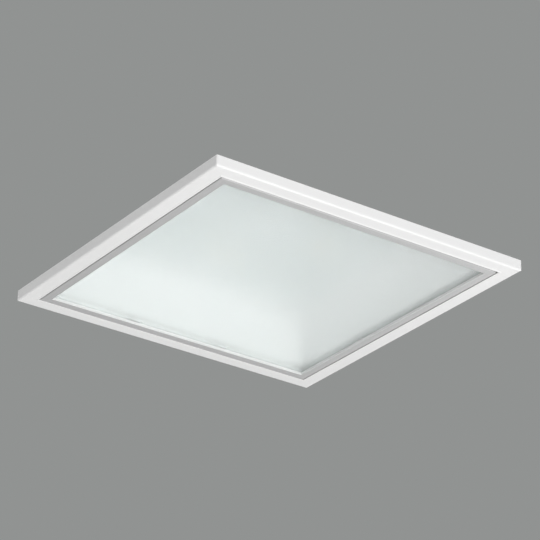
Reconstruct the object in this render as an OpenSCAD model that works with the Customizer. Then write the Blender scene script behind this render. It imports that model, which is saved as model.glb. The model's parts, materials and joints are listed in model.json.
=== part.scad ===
// Square recessed ceiling downlight. A white bezel frames a hinged grey door with frosted glass.
// Behind it a stepped steel housing holds the lamp boards, with the driver and wiring box on top.
// Four sprung arms clamp it to a ceiling board. Millimetres; +Z points up into the ceiling.
// The origin is the centre of the square where the bezel meets the underside of the ceiling.

/* [Bezel] */
// Overall width of the square bezel
bezel_side = 300; // [270:1:330]
// How far the bezel stands below the ceiling
bezel_h = 9.5; // [9:0.5:13]
// Width of the white band between the outer face and the gap round the door
bezel_band = 13.4; // [13:0.2:17]
// Thickness of the bezel's outer rim
rim_t = 2; // [1.6:0.1:2.6]
// Thickness of the bezel's visible lower plate
bezel_floor = 2; // [1.8:0.1:2.4]
// Thickness of the bezel's inner wall
inner_wall_t = 1.6; // [1.4:0.1:2]
// Rounding of the lower outer edge
edge_r = 1.6; // [0.6:0.1:2]
// Rounding of the four upright corners
corner_r = 1.2; // [0.6:0.1:3]
// Width of the bead round the opening
bead_w = 2; // [1.4:0.1:2.6]
// Height of the bead below the visible face
bead_h = 0.35; // [0.2:0.05:0.6]
// Width of the foam ceiling gasket
foam_w = 3.2; // [2.4:0.2:3.6]

/* [Door] */
// Gap between door and bezel
door_gap = 0.6; // [0.5:0.05:1]
// Width of the visible grey band
door_face_w = 7.4; // [6.8:0.2:10]
// Thickness of the door's visible face
door_floor = 2; // [1.6:0.1:2.6]
// Thickness of the upright part of the door frame
upright_t = 3.6; // [3.4:0.1:4.2]
// How far the door stands below the bezel
door_proud = 0.25; // [0:0.05:0.6]
// Rounding of the door's outer lower edge
door_round = 1.4; // [1:0.1:1.6]
// Thickness of the glass
glass_t = 4; // [3:0.5:5]
// Gap between the glass edge and the door frame
glass_play = 0.4; // [0.3:0.1:0.8]
// Thickness of the seal under the glass
seal_t = 0.8; // [0.5:0.1:1.2]
// Distance of each pair of glass clips from the middle of a side
glass_clip_at = 45; // [30:5:65]
// Width of a glass clip
glass_clip_w = 10; // [8:1:14]
// Thickness of the glass clips and catch plates
clip_plate_t = 0.8; // [0.6:0.1:1]

/* [Hinge and catches] */
// Radius of the hinge pins
hinge_pin_r = 1; // [0.8:0.05:1.05]
// Depth of the hinge axis inside the door's lower outer edge
hinge_inset = 1.9; // [1.85:0.05:2]
// Length of a hinge pin inside the door
hinge_hold = 5; // [4:0.5:8]
// Length of a hinge pin inside the bezel
hinge_root = 7; // [6:0.5:8]
// Distance of each catch from the middle of the door's free side
catch_at = 90; // [80:2:100]
// Height of a catch blade above its foot
blade_h = 4.6; // [4:0.2:4.8]
// Gap between a catch blade and each leaf of its clip
leaf_gap = 0.3; // [0.25:0.05:0.4]
// Thickness of the catch leaves
leaf_t = 0.4; // [0.3:0.1:0.5]

/* [Housing] */
// Thickness of the sheet steel
sheet = 1; // [0.8:0.1:1.2]
// Depth of the housing's flange below the ceiling
flange_drop = 2.4; // [2.2:0.1:2.8]
// Gap between the door's opening in the bezel and the collar
collar_gap = 0.6; // [0.4:0.1:1]
// Height of the shelf's underside above the ceiling
shelf_z = 4; // [4:0.2:5]
// How far the upper walls stand in from the collar
body_step = 6; // [5.6:0.2:8]
// Height of the light chamber above the ceiling
chamber_h = 56; // [52:1:80]

/* [Ceiling clips] */
// Thinnest ceiling board that the clips hold
board_min = 10; // [8:0.5:14]
// Distance of each clip from the middle of its side
clip_at = 85; // [70:1:95]
// Length of a sprung arm from its axis
arm_len = 52; // [40:1:60]
// Slope of an arm at rest
arm_slope = 12; // [8:1:16]
// Radius of the spring wire
wire_r = 0.9; // [0.7:0.05:0.9]
// Radius of a clip's pin
clip_pin_r = 1.5; // [1.2:0.1:1.5]
// Length of each coil along the pin
coil_len = 8; // [6:0.5:9]
// Width of the space between the bracket's ears
ears_in = 29; // [28:0.5:34]
// Thickness of the bracket's sheet
ear_t = 1.2; // [1:0.1:1.4]
// Radius of the arm's tip sleeve
sleeve_r = 2.2; // [1.8:0.1:2.6]

/* [Lamp boards] */
// Clear space between the lamp boards and the wall, which takes the leads
board_margin = 16.2; // [14:0.2:20]
// Gap between neighbouring lamp boards
board_gap = 10; // [8:0.5:12]
// Thickness of a lamp board
board_t = 1.6; // [1:0.1:2]
// Lamp chips along one side of a board
chips_n = 4; // [3:1:4]
// Spacing of the lamp chips
chip_pitch = 24; // [20:1:25]
// Width of a lamp chip
chip_w = 3.5; // [2.8:0.1:5]
// Height of a lamp chip
chip_h = 0.7; // [0.5:0.1:1]

/* [Driver] */
// Gap between the lead grommet and the driver's ear
driver_off = 10.8; // [8:0.2:14]
// Length of the driver's case
driver_len = 140; // [120:2:150]
// Width of the driver's case
driver_w = 44; // [40:1:50]
// Height of the driver with its cover
driver_h = 26; // [24:1:32]
// Wall of the driver's case
driver_wall = 1.8; // [1.4:0.1:2.4]
// Length of each fixing ear
driver_ear = 12; // [11:0.5:16]
// Thickness of the driver's circuit board
circuit_t = 1.6; // [1.2:0.1:2]

/* [Wiring box] */
// How far the middle of the wiring box lies beyond the driver's end
wbox_off = 22; // [20:0.5:30]
// Distance of the middle of the wiring box from the centre line
wbox_at = 50; // [48:1:58]
// Length of the wiring box along X
wbox_x = 70; // [64:1:72]
// Length of the wiring box along Y
wbox_y = 60; // [54:1:66]
// Height of the wiring box without its lid
wbox_h = 28; // [28:1:34]
// Wall of the wiring box
wbox_wall = 2; // [1.6:0.1:2.6]
// Thickness of the lid
lid_t = 2; // [1.6:0.1:2.4]
// Radius of the lid's pin
lid_pin_r = 1; // [0.8:0.1:1.2]
// Spacing of the terminal poles
pole_pitch = 8; // [7.6:0.1:8.4]
// Depth of the terminal block
block_y = 20; // [18:1:24]
// Height of the terminal block
block_h = 12; // [10:0.5:12]
// Length of a terminal lever from its pin
lever_len = 10.5; // [9:0.5:10.5]
// Radius of the cable that the gland takes
cable_r = 4.5; // [3:0.25:4.5]
// Radius of the gland's thread
gland_r = 8; // [7:0.5:8]
// Radius of the mains wires
mains_r = 1.1; // [0.9:0.05:1.2]
// Radius of the lamp wires
lead_r = 0.8; // [0.6:0.05:0.9]

/* [Hidden] */

$fn = 48;

// clearances: a tight seat, a running fit, a gap at rest, a screw's free hole and a wire's free way
tight = 0.02;
run = 0.05;
seat = 0.3;
slack = 0.2;
wire_play = 0.4;

// a cut's overrun, how far joined shapes reach into each other, the spare depth of a blind hole
cut = 1;
bite = 0.1;
blind = 0.3;

// half widths, from the outside inwards
flange_play = 0.4;
seal_back = 0.5;
rim_out = bezel_side / 2;
rim_in = rim_out - rim_t;
opening = rim_out - bezel_band;
door_out = opening - door_gap;
door_in = door_out - door_face_w;
upright_in = door_out - upright_t;
glass_out = upright_in - glass_play;
seal_out = upright_in - glass_play / 2;
seal_in = door_in + seal_back;
collar_in = opening + collar_gap;
collar_out = collar_in + sheet;
body_in = collar_in - body_step;
body_out = body_in + sheet;
flange_out = rim_in - flange_play;
foam_in = flange_out - foam_w;

// heights
face_z = -bezel_h;
floor_z = face_z + bezel_floor;
door_z = face_z - door_proud;
seal_z = door_z + door_floor;
glass_z = seal_z + seal_t;
glass_top = glass_z + glass_t;
flange_top = -flange_drop;
flange_z = flange_top - sheet;
shelf_top = shelf_z + sheet;
top_z = chamber_h + sheet;

// hinge axis, along X
hinge_y = door_out - hinge_inset;
hinge_z = door_z + hinge_inset;
hinge_end_gap = 0.5;
boss_wall = 1.5;
grub_in = 2;
grub_x = opening + hinge_root - grub_in;
hex_socket_r = 0.5;
hex_socket_h = 0.9;

// screws: the bezel's, the door's, the boards' and the boxes'
bezel_screw_r = 1.05;
bezel_screw_head_r = 2.2;
bezel_screw_head_h = 1.6;
bezel_boss_r = 2.5;
bezel_screw_free = 0.5;
bezel_screw_x = collar_out + bezel_screw_head_r + bezel_screw_free;
bezel_screw_at = 100;
bezel_screw_sink = 0.4;
bezel_screw_tip = floor_z - bezel_screw_sink;
door_screw_r = 0.9;
door_screw_head_r = 1.6;
door_screw_head_h = 1;
door_screw_len = 3.4;
door_screw_x = (door_out + upright_in) / 2;
m3_r = 1.5;
m3_head_r = 2.8;
m3_head_h = 2;
m3_stick_out = 2;
m3_short = 0.1;
glass_clip_edge = 0.6;

// catches on the free side of the door
blade_w = 8;
blade_foot_w = 16;
foot_screw_at = 6.2;
blade_y = -door_screw_x;
blade_top = glass_top + clip_plate_t + blade_h;
leaf_low = glass_top + clip_plate_t + door_screw_head_h + seat;
catch_base_w = 21;
catch_rivet_r = 1;
catch_rivet_head_r = 1.5;
catch_rivet_head_h = 0.8;
catch_rivet_at = 8.4;

// ceiling clips
coil_in_r = clip_pin_r + 0.08;
coil_mid_r = coil_in_r + wire_r;
coil_out_r = coil_mid_r + wire_r;
axis_off = coil_out_r + ear_t + seat;
clip_x = body_out + axis_off;
clip_z = board_min + arm_len * sin(arm_slope) + coil_mid_r * cos(arm_slope) + sleeve_r;
coil_far = ears_in / 2 - seat;
coil_near = coil_far - coil_len;
leg_y = coil_near + wire_r;
bend_r = 3;
bracket_half_h = 9;
bracket_half_w = ears_in / 2 + ear_t;
clip_pin_head_r = 2.3;
clip_pin_head_h = 1;
tab_reach = coil_out_r;
tab_w = 3.6;
tab_drop = coil_out_r * cos(arm_slope)
  + (tab_reach + coil_out_r * sin(arm_slope)) / cos(arm_slope) * sin(arm_slope) + seat;
bracket_rivet_r = 1.2;
bracket_rivet_head_r = 2.1;
bracket_rivet_head_h = 0.9;
bracket_rivet_at = 6.4;
CLIPS = [[-1, -1], [-1, 1], [1, -1], [1, 1]];

// lamp boards hang from the housing's top, lit side down
board_side = body_in - board_margin - board_gap / 2;
board_at = (board_side + board_gap) / 2;
board_z = chamber_h - board_t;
chip_span = (chips_n - 1) * chip_pitch / 2;
board_screw_in = 6;
board_screw_at = board_side / 2 - board_screw_in;
BOARDS = [[-1, -1], [1, -1], [1, 1], [-1, 1]];
connector_x = 8;
connector_y = 9;
connector_h = 4;
connector_in = 5;
connector_at = board_side / 2 - connector_in;
link_z = board_z - connector_h / 2;
pair_off = 2;
lead_bend = 4;
grommet_x = -(board_at + board_side / 2 + body_in) / 2;
grommet_in_r = pair_off + lead_r + seat;
grommet_neck_r = grommet_in_r + 1.2;
grommet_out_r = grommet_in_r + 2.2;
grommet_lip = 1.4;

// driver, its long side along X over the front left board
driver_y = -board_at;
driver_x0 = grommet_x + grommet_out_r + driver_off + driver_ear;
driver_x1 = driver_x0 + driver_len;
driver_mid = (driver_x0 + driver_x1) / 2;
driver_cover_t = 2;
cover_lip = 3;
vent_n = 7;
vent_pitch = 9;
vent_w = 3;
vent_len = 20;
vent_depth = 0.6;
driver_foot_t = 2;
driver_screw_side = 14;
port_off = 4;
port_edge = 3;
port_h = 8;
port_len = 10;
circuit_lift = 1;
circuit_z = top_z + driver_wall + circuit_lift;
circuit_top = circuit_z + circuit_t;
post_r = 2;
post_end = 22;
post_in = 4;

// what stands on the driver's board, in two rows beside the transformer
part_row = 9;
bobbin_x = 24;
bobbin_y = 20;
bobbin_h = 3;
core_x = 18;
core_h = 10;
choke_x = 14;
choke_y = 12;
choke_h = 11;
choke_off = 33;
spreader_t = 1.5;
spreader_y = 10;
spreader_h = 12;
spreader_off = 30;
switch_t = 4.5;
switch_y = 8;
switch_h = 10;
can_r = 4;
can_h = 12;
can_end = 20;
can_pitch = 12;

// wiring box and what it holds
wbox_mid = [driver_x1 + wbox_off, wbox_at];
wbox_x0 = wbox_mid[0] - wbox_x / 2;
wbox_x1 = wbox_mid[0] + wbox_x / 2;
wbox_y0 = wbox_mid[1] - wbox_y / 2;
wbox_y1 = wbox_mid[1] + wbox_y / 2;
wbox_top = top_z + wbox_h;
wbox_floor_z = top_z + wbox_wall;
wbox_screw_in = 7;
knuckle_wall = 1.4;
knuckle_r = lid_pin_r + knuckle_wall;
lid_z = wbox_top + seat;
lid_axis_z = lid_z + lid_t - knuckle_r;
lid_axis_y = wbox_y1 + knuckle_r + seat;
knuckle_w = 12;
knuckle_at = 20;
knuckle_root = 2;
lid_knuckle_w = 24;
lid_lip_w = 20;
lid_lip = 4;
block_x = 3 * pole_pitch;
block_cheek = 1.6;
block_y0 = wbox_mid[1] - block_y / 2;
block_top = wbox_floor_z + block_h;
lever_hub_r = 2;
lever_pin_r = 1;
lever_in = 3.6;
lever_y = block_y0 + lever_in;
lever_z = block_top + lever_hub_r + seat;
lever_gap = 1.2;
lever_w = pole_pitch - lever_gap;
lever_low = 0.6;
lever_high = 1.2;
lever_tip = 3;
cheek_past = 1;
block_port = 9;
gland_lift = 1;
gland_z = top_z + wbox_h / 2 + gland_lift;
gland_hex_r = gland_r + 3;
gland_hex_t = 5;
gland_thread = 8;
gland_cap_r = gland_r + 1.6;
gland_cap_len = 13;
gland_cap_end = 4;
gland_seal_wall = 1.6;
gland_seal_r = cable_r + gland_seal_wall;
gland_seal_len = 8;
locknut_r = gland_r + 2.6;
locknut_t = 3;
locknut_past = 1.5;

// earth stud in front of the wiring box, in line with the third pole
earth_off = 22;
earth_x = wbox_mid[0] + pole_pitch;
earth_y = wbox_y0 - earth_off;
stud_r = 2;
stud_h = 12;
nut_r = 4;
nut_h = 2.7;
lug_t = 1;
lug_r = 4;
barrel_r = 1.9;
barrel_len = 6;
barrel_lift = 0.2;
barrel_stop = 1;
lug_neck = nut_r + 0.5;
lug_z = top_z + 2 * nut_h + tight;

// all leads above the housing run at the height of the earth lug's barrel
wire_z = lug_z + barrel_r + barrel_lift;

// shared shapes

// a square ring between two half widths, from one height to another
module square_ring(outer, inner, low, high) {
  translate([0, 0, low]) linear_extrude(high - low) difference() {
    square(2 * outer, center = true);
    square(2 * inner, center = true);
  }
}

// a box from one corner to the opposite one
module block(low, high) {
  translate(low) cube(high - low);
}

// a square with rounded corners
module round_square(half, r) {
  square([2 * half, 2 * (half - r)], center = true);
  square([2 * (half - r), 2 * half], center = true);
  for (x = [-1, 1], y = [-1, 1]) translate([x * (half - r), y * (half - r)]) circle(r);
}

// a section, drawn as distance from the centre against height, run round a square with mitred corners
module mitred_frame(reach) {
  for (side = [0:3]) rotate([0, 0, 90 * side]) intersection() {
    rotate([90, 0, 0]) linear_extrude(2 * reach, center = true) children();
    translate([0, 0, -reach]) linear_extrude(2 * reach)
      polygon([[0, 0], [reach, reach], [reach, -reach]]);
  }
}

// rounds the lower outer corner of a section
module section_round(x, z, r) {
  difference() {
    translate([x - r, z - cut]) square([r + cut, r + cut]);
    translate([x - r, z + r]) circle(r);
  }
}

// a cylinder along +X or +Y from a point
module rod_x(start, len, r) {
  translate(start) rotate([0, 90, 0]) cylinder(h = len, r = r);
}
module rod_y(start, len, r) {
  translate(start) rotate([-90, 0, 0]) cylinder(h = len, r = r);
}

// a screw along Z whose head rests on z = 0 and points up, its shank running down
module cross_screw(r, len, head_r, head_h) {
  translate([0, 0, -len]) cylinder(h = len, r = r);
  difference() {
    cylinder(h = head_h, r = head_r);
    for (turn = [0, 90]) rotate([0, 0, turn])
      translate([-0.7 * head_r, -0.15 * head_r, 0.45 * head_h]) cube([1.4 * head_r, 0.3 * head_r, head_h]);
  }
}

// a rivet along Z: a shank through the given thickness with a head at either end
module rivet(r, grip, head_r, head_h) {
  translate([0, 0, -grip]) cylinder(h = grip, r = r);
  cylinder(h = head_h, r = head_r);
  translate([0, 0, -grip - head_h]) cylinder(h = head_h, r = head_r);
}

// a quarter turn of wire in the XZ plane, about the origin, from angle a to a + 90
module wire_bend(bend, r, a) {
  rotate([90, 0, 0]) rotate([0, 0, a]) rotate_extrude(angle = 90) translate([bend, 0]) circle(r);
}

// places its children at both catches, at each bezel screw and at each glass clip
module at_catches() {
  for (side = [-1, 1]) translate([side * catch_at, blade_y, 0]) children();
}
module at_bezel_screws() {
  for (turn = [0:3], side = [-1, 1]) rotate([0, 0, 90 * turn])
    translate([bezel_screw_x, side * bezel_screw_at, 0]) children();
}
module at_glass_clips() {
  for (turn = [0:3], side = [-1, 1]) rotate([0, 0, 90 * turn])
    translate([door_screw_x, side * glass_clip_at, 0]) children();
}
module at_board_screws() {
  for (b = BOARDS, side = [-1, 1])
    translate([b[0] * board_at + side * board_screw_at, b[1] * board_at + side * board_screw_at, 0])
      children();
}

// bezel and what fixes it

module bezel_section() {
  difference() {
    union() {
      translate([opening, face_z]) square([rim_out - opening, bezel_floor]);
      translate([rim_in, face_z]) square([rim_t, bezel_h]);
      translate([opening, face_z]) square([inner_wall_t, flange_z - face_z]);
      bead_section();
    }
    section_round(rim_out, face_z, edge_r);
  }
}

// the bead is a low arc whose width and height set its radius
module bead_section() {
  arc_r = (bead_w * bead_w / 4 + bead_h * bead_h) / (2 * bead_h);
  intersection() {
    translate([opening + bead_w / 2, face_z - bead_h + arc_r]) circle(arc_r);
    translate([opening, face_z - bead_h]) square([bead_w, bead_h + bezel_floor / 2]);
  }
}

module bezel() {
  color("white") difference() {
    union() {
      intersection() {
        mitred_frame(rim_out + cut) bezel_section();
        translate([0, 0, face_z - cut]) linear_extrude(bezel_h + 2 * cut) round_square(rim_out, corner_r);
      }
      at_bezel_screws() translate([0, 0, floor_z - bite])
        cylinder(h = flange_z - floor_z + bite, r = bezel_boss_r);
      for (side = [0, 1]) mirror([side, 0, 0]) hinge_boss();
    }
    at_bezel_screws() translate([0, 0, bezel_screw_tip - blind])
      cylinder(h = flange_z - bezel_screw_tip + cut, r = bezel_screw_r + tight);
    for (side = [0, 1]) mirror([side, 0, 0]) {
      rod_x([opening - cut, hinge_y, hinge_z], hinge_root + cut + blind, hinge_pin_r + tight);
      translate([grub_x, hinge_y, hinge_z])
        cylinder(h = boss_wall + hinge_pin_r + cut, r = hinge_pin_r + tight);
    }
  }
}

// the boss stands on the lower plate and takes a hinge pin
module hinge_boss() {
  block([opening, hinge_y - hinge_pin_r - boss_wall, floor_z - bite],
    [opening + hinge_root + boss_wall, opening + bite, hinge_z + hinge_pin_r + boss_wall]);
}

module bezel_screws() {
  color("silver") at_bezel_screws() translate([0, 0, flange_top])
    cross_screw(bezel_screw_r, flange_top - bezel_screw_tip, bezel_screw_head_r, bezel_screw_head_h);
}

module ceiling_gasket() {
  color("dimgray") square_ring(flange_out, foam_in, flange_top, 0);
}

module hinge_pins() {
  color("silver") for (side = [0, 1]) mirror([side, 0, 0])
    rod_x([door_out - hinge_hold, hinge_y, hinge_z], hinge_hold + door_gap + hinge_root, hinge_pin_r);
}

module hinge_pin_screws() {
  color("dimgray") for (side = [0, 1]) mirror([side, 0, 0])
    translate([grub_x, hinge_y, hinge_z + hinge_pin_r]) difference() {
      cylinder(h = boss_wall, r = hinge_pin_r);
      translate([0, 0, boss_wall - hex_socket_h]) cylinder(h = boss_wall, r = hex_socket_r, $fn = 6);
    }
}

// housing

module housing() {
  color("whitesmoke") difference() {
    union() {
      block([-flange_out, -flange_out, flange_z], [flange_out, flange_out, flange_top]);
      block([-collar_out, -collar_out, flange_z], [collar_out, collar_out, shelf_top]);
      block([-body_out, -body_out, shelf_z], [body_out, body_out, top_z]);
    }
    block([-collar_in, -collar_in, flange_z - cut], [collar_in, collar_in, shelf_z]);
    block([-body_in, -body_in, flange_z - cut], [body_in, body_in, chamber_h]);
    housing_holes();
  }
}

module housing_holes() {
  at_bezel_screws() translate([0, 0, flange_z - cut])
    cylinder(h = sheet + 2 * cut, r = bezel_screw_r + slack);
  at_catches() for (side = [-1, 1]) translate([side * catch_rivet_at, 0, shelf_z - cut])
    cylinder(h = sheet + 2 * cut, r = catch_rivet_r + tight);
  at_clips() for (side = [-1, 1]) translate([-axis_off - sheet - cut, 0, side * bracket_rivet_at])
    rod_x([0, 0, 0], sheet + 2 * cut, bracket_rivet_r + tight);
  at_board_screws() translate([0, 0, chamber_h - cut]) cylinder(h = sheet + 2 * cut, r = m3_r + tight);
  at_driver_screws() translate([0, 0, chamber_h - cut]) cylinder(h = sheet + 2 * cut, r = m3_r + tight);
  at_wiring_box_screws() translate([0, 0, chamber_h - cut]) cylinder(h = sheet + 2 * cut, r = m3_r + tight);
  translate([grommet_x, driver_y, chamber_h - cut]) cylinder(h = sheet + 2 * cut, r = grommet_neck_r + tight);
}

// door

module door_section() {
  difference() {
    union() {
      translate([upright_in, door_z]) square([upright_t, glass_top - door_z]);
      translate([door_in, door_z]) square([door_face_w, door_floor]);
    }
    section_round(door_out, door_z, door_round);
  }
}

module door_frame() {
  color("darkgray") difference() {
    mitred_frame(door_out + cut) door_section();
    for (side = [0, 1]) mirror([side, 0, 0])
      rod_x([door_out - hinge_hold - hinge_end_gap, hinge_y, hinge_z],
        hinge_hold + hinge_end_gap + cut, hinge_pin_r + run);
    at_glass_clips() door_screw_hole();
    at_catches() for (side = [-1, 1]) translate([side * foot_screw_at, 0, 0]) door_screw_hole();
  }
}

module door_screw_hole() {
  translate([0, 0, glass_top - door_screw_len - blind])
    cylinder(h = door_screw_len + cut, r = door_screw_r + tight);
}

module glass_panel() {
  color("honeydew", 0.6) block([-glass_out, -glass_out, glass_z], [glass_out, glass_out, glass_top]);
}

module glass_gasket() {
  color("gainsboro") square_ring(seal_out, seal_in, seal_z, glass_z);
}

// each clip is screwed on the upright and reaches over the glass, hidden behind the face
module glass_clips() {
  clip_end = door_in + glass_clip_edge;
  color("silver") at_glass_clips() difference() {
    translate([clip_end - door_screw_x, -glass_clip_w / 2, glass_top])
      cube([door_out - glass_clip_edge - clip_end, glass_clip_w, clip_plate_t]);
    translate([0, 0, glass_top - cut]) cylinder(h = clip_plate_t + 2 * cut, r = door_screw_r + slack);
  }
}

module door_screws() {
  color("gray") {
    at_glass_clips() door_screw();
    at_catches() for (side = [-1, 1]) translate([side * foot_screw_at, 0, 0]) door_screw();
  }
}

module door_screw() {
  translate([0, 0, glass_top + clip_plate_t])
    cross_screw(door_screw_r, door_screw_len + clip_plate_t - blind, door_screw_head_r, door_screw_head_h);
}

module catch_blades() {
  color("silver") at_catches() difference() {
    union() {
      block([-blade_foot_w / 2, -door_screw_head_r, glass_top],
        [blade_foot_w / 2, door_screw_head_r, glass_top + clip_plate_t]);
      block([-blade_w / 2, -clip_plate_t / 2, glass_top], [blade_w / 2, clip_plate_t / 2, blade_top]);
    }
    for (side = [-1, 1]) translate([side * foot_screw_at, 0, glass_top - cut])
      cylinder(h = clip_plate_t + 2 * cut, r = door_screw_r + slack);
  }
}

module catch_clips() {
  leaf_in = clip_plate_t / 2 + leaf_gap;
  color("silver") at_catches() difference() {
    union() {
      block([-catch_base_w / 2, -catch_rivet_head_r, shelf_z - clip_plate_t],
        [catch_base_w / 2, catch_rivet_head_r, shelf_z]);
      for (side = [0, 1]) mirror([0, side, 0])
        block([-blade_w / 2, leaf_in, leaf_low], [blade_w / 2, leaf_in + leaf_t, shelf_z]);
    }
    for (side = [-1, 1]) translate([side * catch_rivet_at, 0, shelf_z - clip_plate_t - cut])
      cylinder(h = clip_plate_t + 2 * cut, r = catch_rivet_r + tight);
  }
}

module catch_rivets() {
  color("silver") at_catches() for (side = [-1, 1]) translate([side * catch_rivet_at, 0, shelf_top])
    rivet(catch_rivet_r, sheet + clip_plate_t, catch_rivet_head_r, catch_rivet_head_h);
}

// lamp boards

module led_boards() {
  color("white") difference() {
    for (b = BOARDS) translate([b[0] * board_at - board_side / 2, b[1] * board_at - board_side / 2, board_z])
      cube([board_side, board_side, board_t]);
    at_board_screws() translate([0, 0, board_z - cut]) cylinder(h = board_t + 2 * cut, r = m3_r + slack);
  }
}

module led_chips() {
  color("khaki") for (b = BOARDS, i = [0:chips_n - 1], j = [0:chips_n - 1])
    translate([b[0] * board_at - chip_span + i * chip_pitch - chip_w / 2,
      b[1] * board_at - chip_span + j * chip_pitch - chip_w / 2, board_z - chip_h])
        cube([chip_w, chip_w, chip_h]);
}

module board_screws() {
  color("silver") at_board_screws() translate([0, 0, board_z]) mirror([0, 0, 1])
    cross_screw(m3_r, board_t + sheet + m3_stick_out, m3_head_r, m3_head_h);
}

// one connector at the lead's end of the first board, and a pair across each gap that a link bridges
module board_connectors() {
  color("ivory") {
    connector([-board_at - connector_at, -board_at], 0);
    for (side = [-1, 1]) {
      connector([side * (board_at - connector_at), -board_at], 0);
      connector([side * (board_at - connector_at), board_at], 0);
      connector([board_at, side * (board_at - connector_at)], 90);
    }
  }
}

module connector(at, turn) {
  translate([at[0], at[1], board_z - connector_h]) rotate([0, 0, turn])
    translate([-connector_x / 2, -connector_y / 2, 0]) cube([connector_x, connector_y, connector_h]);
}

module board_links() {
  link_half = board_at - connector_at - connector_x / 2;
  color("white") for (side = [-1, 1]) {
    rod_x([-link_half, -board_at + side * pair_off, link_z], 2 * link_half, lead_r);
    rod_x([-link_half, board_at + side * pair_off, link_z], 2 * link_half, lead_r);
    rod_y([board_at + side * pair_off, -link_half, link_z], 2 * link_half, lead_r);
  }
}

// two wires from the driver, down through the grommet and back to the first board
module led_leads() {
  turn_x = grommet_x + lead_bend;
  end_x = -board_at - connector_at - connector_x / 2;
  for (side = [-1, 1]) color(side < 0 ? "black" : "firebrick") translate([0, driver_y + side * pair_off, 0]) {
    rod_x([turn_x, 0, wire_z], driver_x0 - turn_x, lead_r);
    translate([turn_x, 0, wire_z - lead_bend]) wire_bend(lead_bend, lead_r, 90);
    translate([grommet_x, 0, link_z + lead_bend])
      cylinder(h = wire_z - link_z - 2 * lead_bend, r = lead_r);
    translate([turn_x, 0, link_z + lead_bend]) wire_bend(lead_bend, lead_r, 180);
    rod_x([turn_x, 0, link_z], end_x - turn_x, lead_r);
  }
}

module wire_grommet() {
  low = chamber_h - grommet_lip;
  color("black") translate([grommet_x, driver_y, 0]) difference() {
    union() {
      translate([0, 0, low]) cylinder(h = grommet_lip, r = grommet_out_r);
      translate([0, 0, low]) cylinder(h = sheet + 2 * grommet_lip, r = grommet_neck_r);
      translate([0, 0, top_z]) cylinder(h = grommet_lip, r = grommet_out_r);
    }
    translate([0, 0, low - cut]) cylinder(h = sheet + 2 * grommet_lip + 2 * cut, r = grommet_in_r);
  }
}

// driver

module at_driver_screws() {
  translate([driver_x0 - driver_ear / 2, driver_y - driver_screw_side, 0]) children();
  translate([driver_x1 + driver_ear / 2, driver_y + driver_screw_side, 0]) children();
}

module driver_case() {
  rim = top_z + driver_h - driver_cover_t;
  half_w = driver_w / 2;
  color("gainsboro") difference() {
    union() {
      block([driver_x0, driver_y - half_w, top_z], [driver_x1, driver_y + half_w, rim]);
      block([driver_x0 - driver_ear, driver_y - half_w, top_z],
        [driver_x1 + driver_ear, driver_y + half_w, top_z + driver_foot_t]);
    }
    block([driver_x0 + driver_wall, driver_y - half_w + driver_wall, top_z + driver_wall],
      [driver_x1 - driver_wall, driver_y + half_w - driver_wall, rim + cut]);
    for (side = [0, 1]) driver_port(side, cut, seat);
    at_driver_screws() translate([0, 0, top_z - cut]) cylinder(h = driver_foot_t + 2 * cut, r = m3_r + slack);
  }
}

// a terminal at the driver's end, on its board; the case is cut for it with some play
module driver_port(side, extra, play) {
  half = port_off + port_edge;
  translate([driver_mid, driver_y, 0]) mirror([side, 0, 0])
    block([-driver_len / 2 - extra, -half - play, circuit_top - play],
      [-driver_len / 2 + port_len, half + play, circuit_top + port_h + play]);
}

module driver_cover() {
  half_w = driver_w / 2;
  z = top_z + driver_h - driver_cover_t;
  color("whitesmoke") difference() {
    union() {
      block([driver_x0, driver_y - half_w, z], [driver_x1, driver_y + half_w, z + driver_cover_t]);
      difference() {
        block([driver_x0 + driver_wall + slack, driver_y - half_w + driver_wall + slack, z - cover_lip],
          [driver_x1 - driver_wall - slack, driver_y + half_w - driver_wall - slack, z]);
        block([driver_x0 + 2 * driver_wall, driver_y - half_w + 2 * driver_wall, z - cover_lip - cut],
          [driver_x1 - 2 * driver_wall, driver_y + half_w - 2 * driver_wall, z]);
      }
    }
    for (i = [0:vent_n - 1])
      translate([driver_mid + vent_pitch * (i - (vent_n - 1) / 2) - vent_w / 2, driver_y - vent_len / 2,
        z + driver_cover_t - vent_depth]) cube([vent_w, vent_len, cut]);
  }
}

module driver_board() {
  half_w = driver_w / 2 - driver_wall - seat;
  color("seagreen") {
    block([driver_x0 + driver_wall + seat, driver_y - half_w, circuit_z],
      [driver_x1 - driver_wall - seat, driver_y + half_w, circuit_top]);
    for (x = [driver_x0 + post_end, driver_x1 - post_end], side = [-1, 1])
      translate([x, driver_y + side * (half_w - post_in), top_z + driver_wall])
        cylinder(h = circuit_lift, r = post_r);
  }
}

// transformer, choke, power switch with its heat spreader, and four capacitors
module driver_parts() {
  translate([driver_mid, driver_y, circuit_top]) color("goldenrod") {
    translate([-bobbin_x / 2, -bobbin_y / 2, 0]) cube([bobbin_x, bobbin_y, bobbin_h]);
    translate([-core_x / 2, -bobbin_y / 2, 0]) cube([core_x, bobbin_y, bobbin_h + core_h]);
    translate([choke_off - choke_x / 2, part_row - choke_y / 2, 0]) cube([choke_x, choke_y, choke_h]);
    translate([-spreader_off, part_row - spreader_y / 2, 0]) cube([spreader_t, spreader_y, spreader_h]);
    translate([spreader_t - spreader_off, part_row - switch_y / 2, 0]) cube([switch_t, switch_y, switch_h]);
    for (side = [-1, 1], i = [0, 1])
      translate([side * (driver_len / 2 - can_end - i * can_pitch), -part_row, 0])
        cylinder(h = can_h, r = can_r);
  }
}

module driver_terminals() {
  color("dimgray") for (side = [0, 1]) driver_port(side, 0, 0);
}

module driver_screws() {
  color("silver") at_driver_screws() translate([0, 0, top_z + driver_foot_t])
    cross_screw(m3_r, driver_foot_t + sheet - m3_short, m3_head_r, m3_head_h);
}

// wiring box

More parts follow.
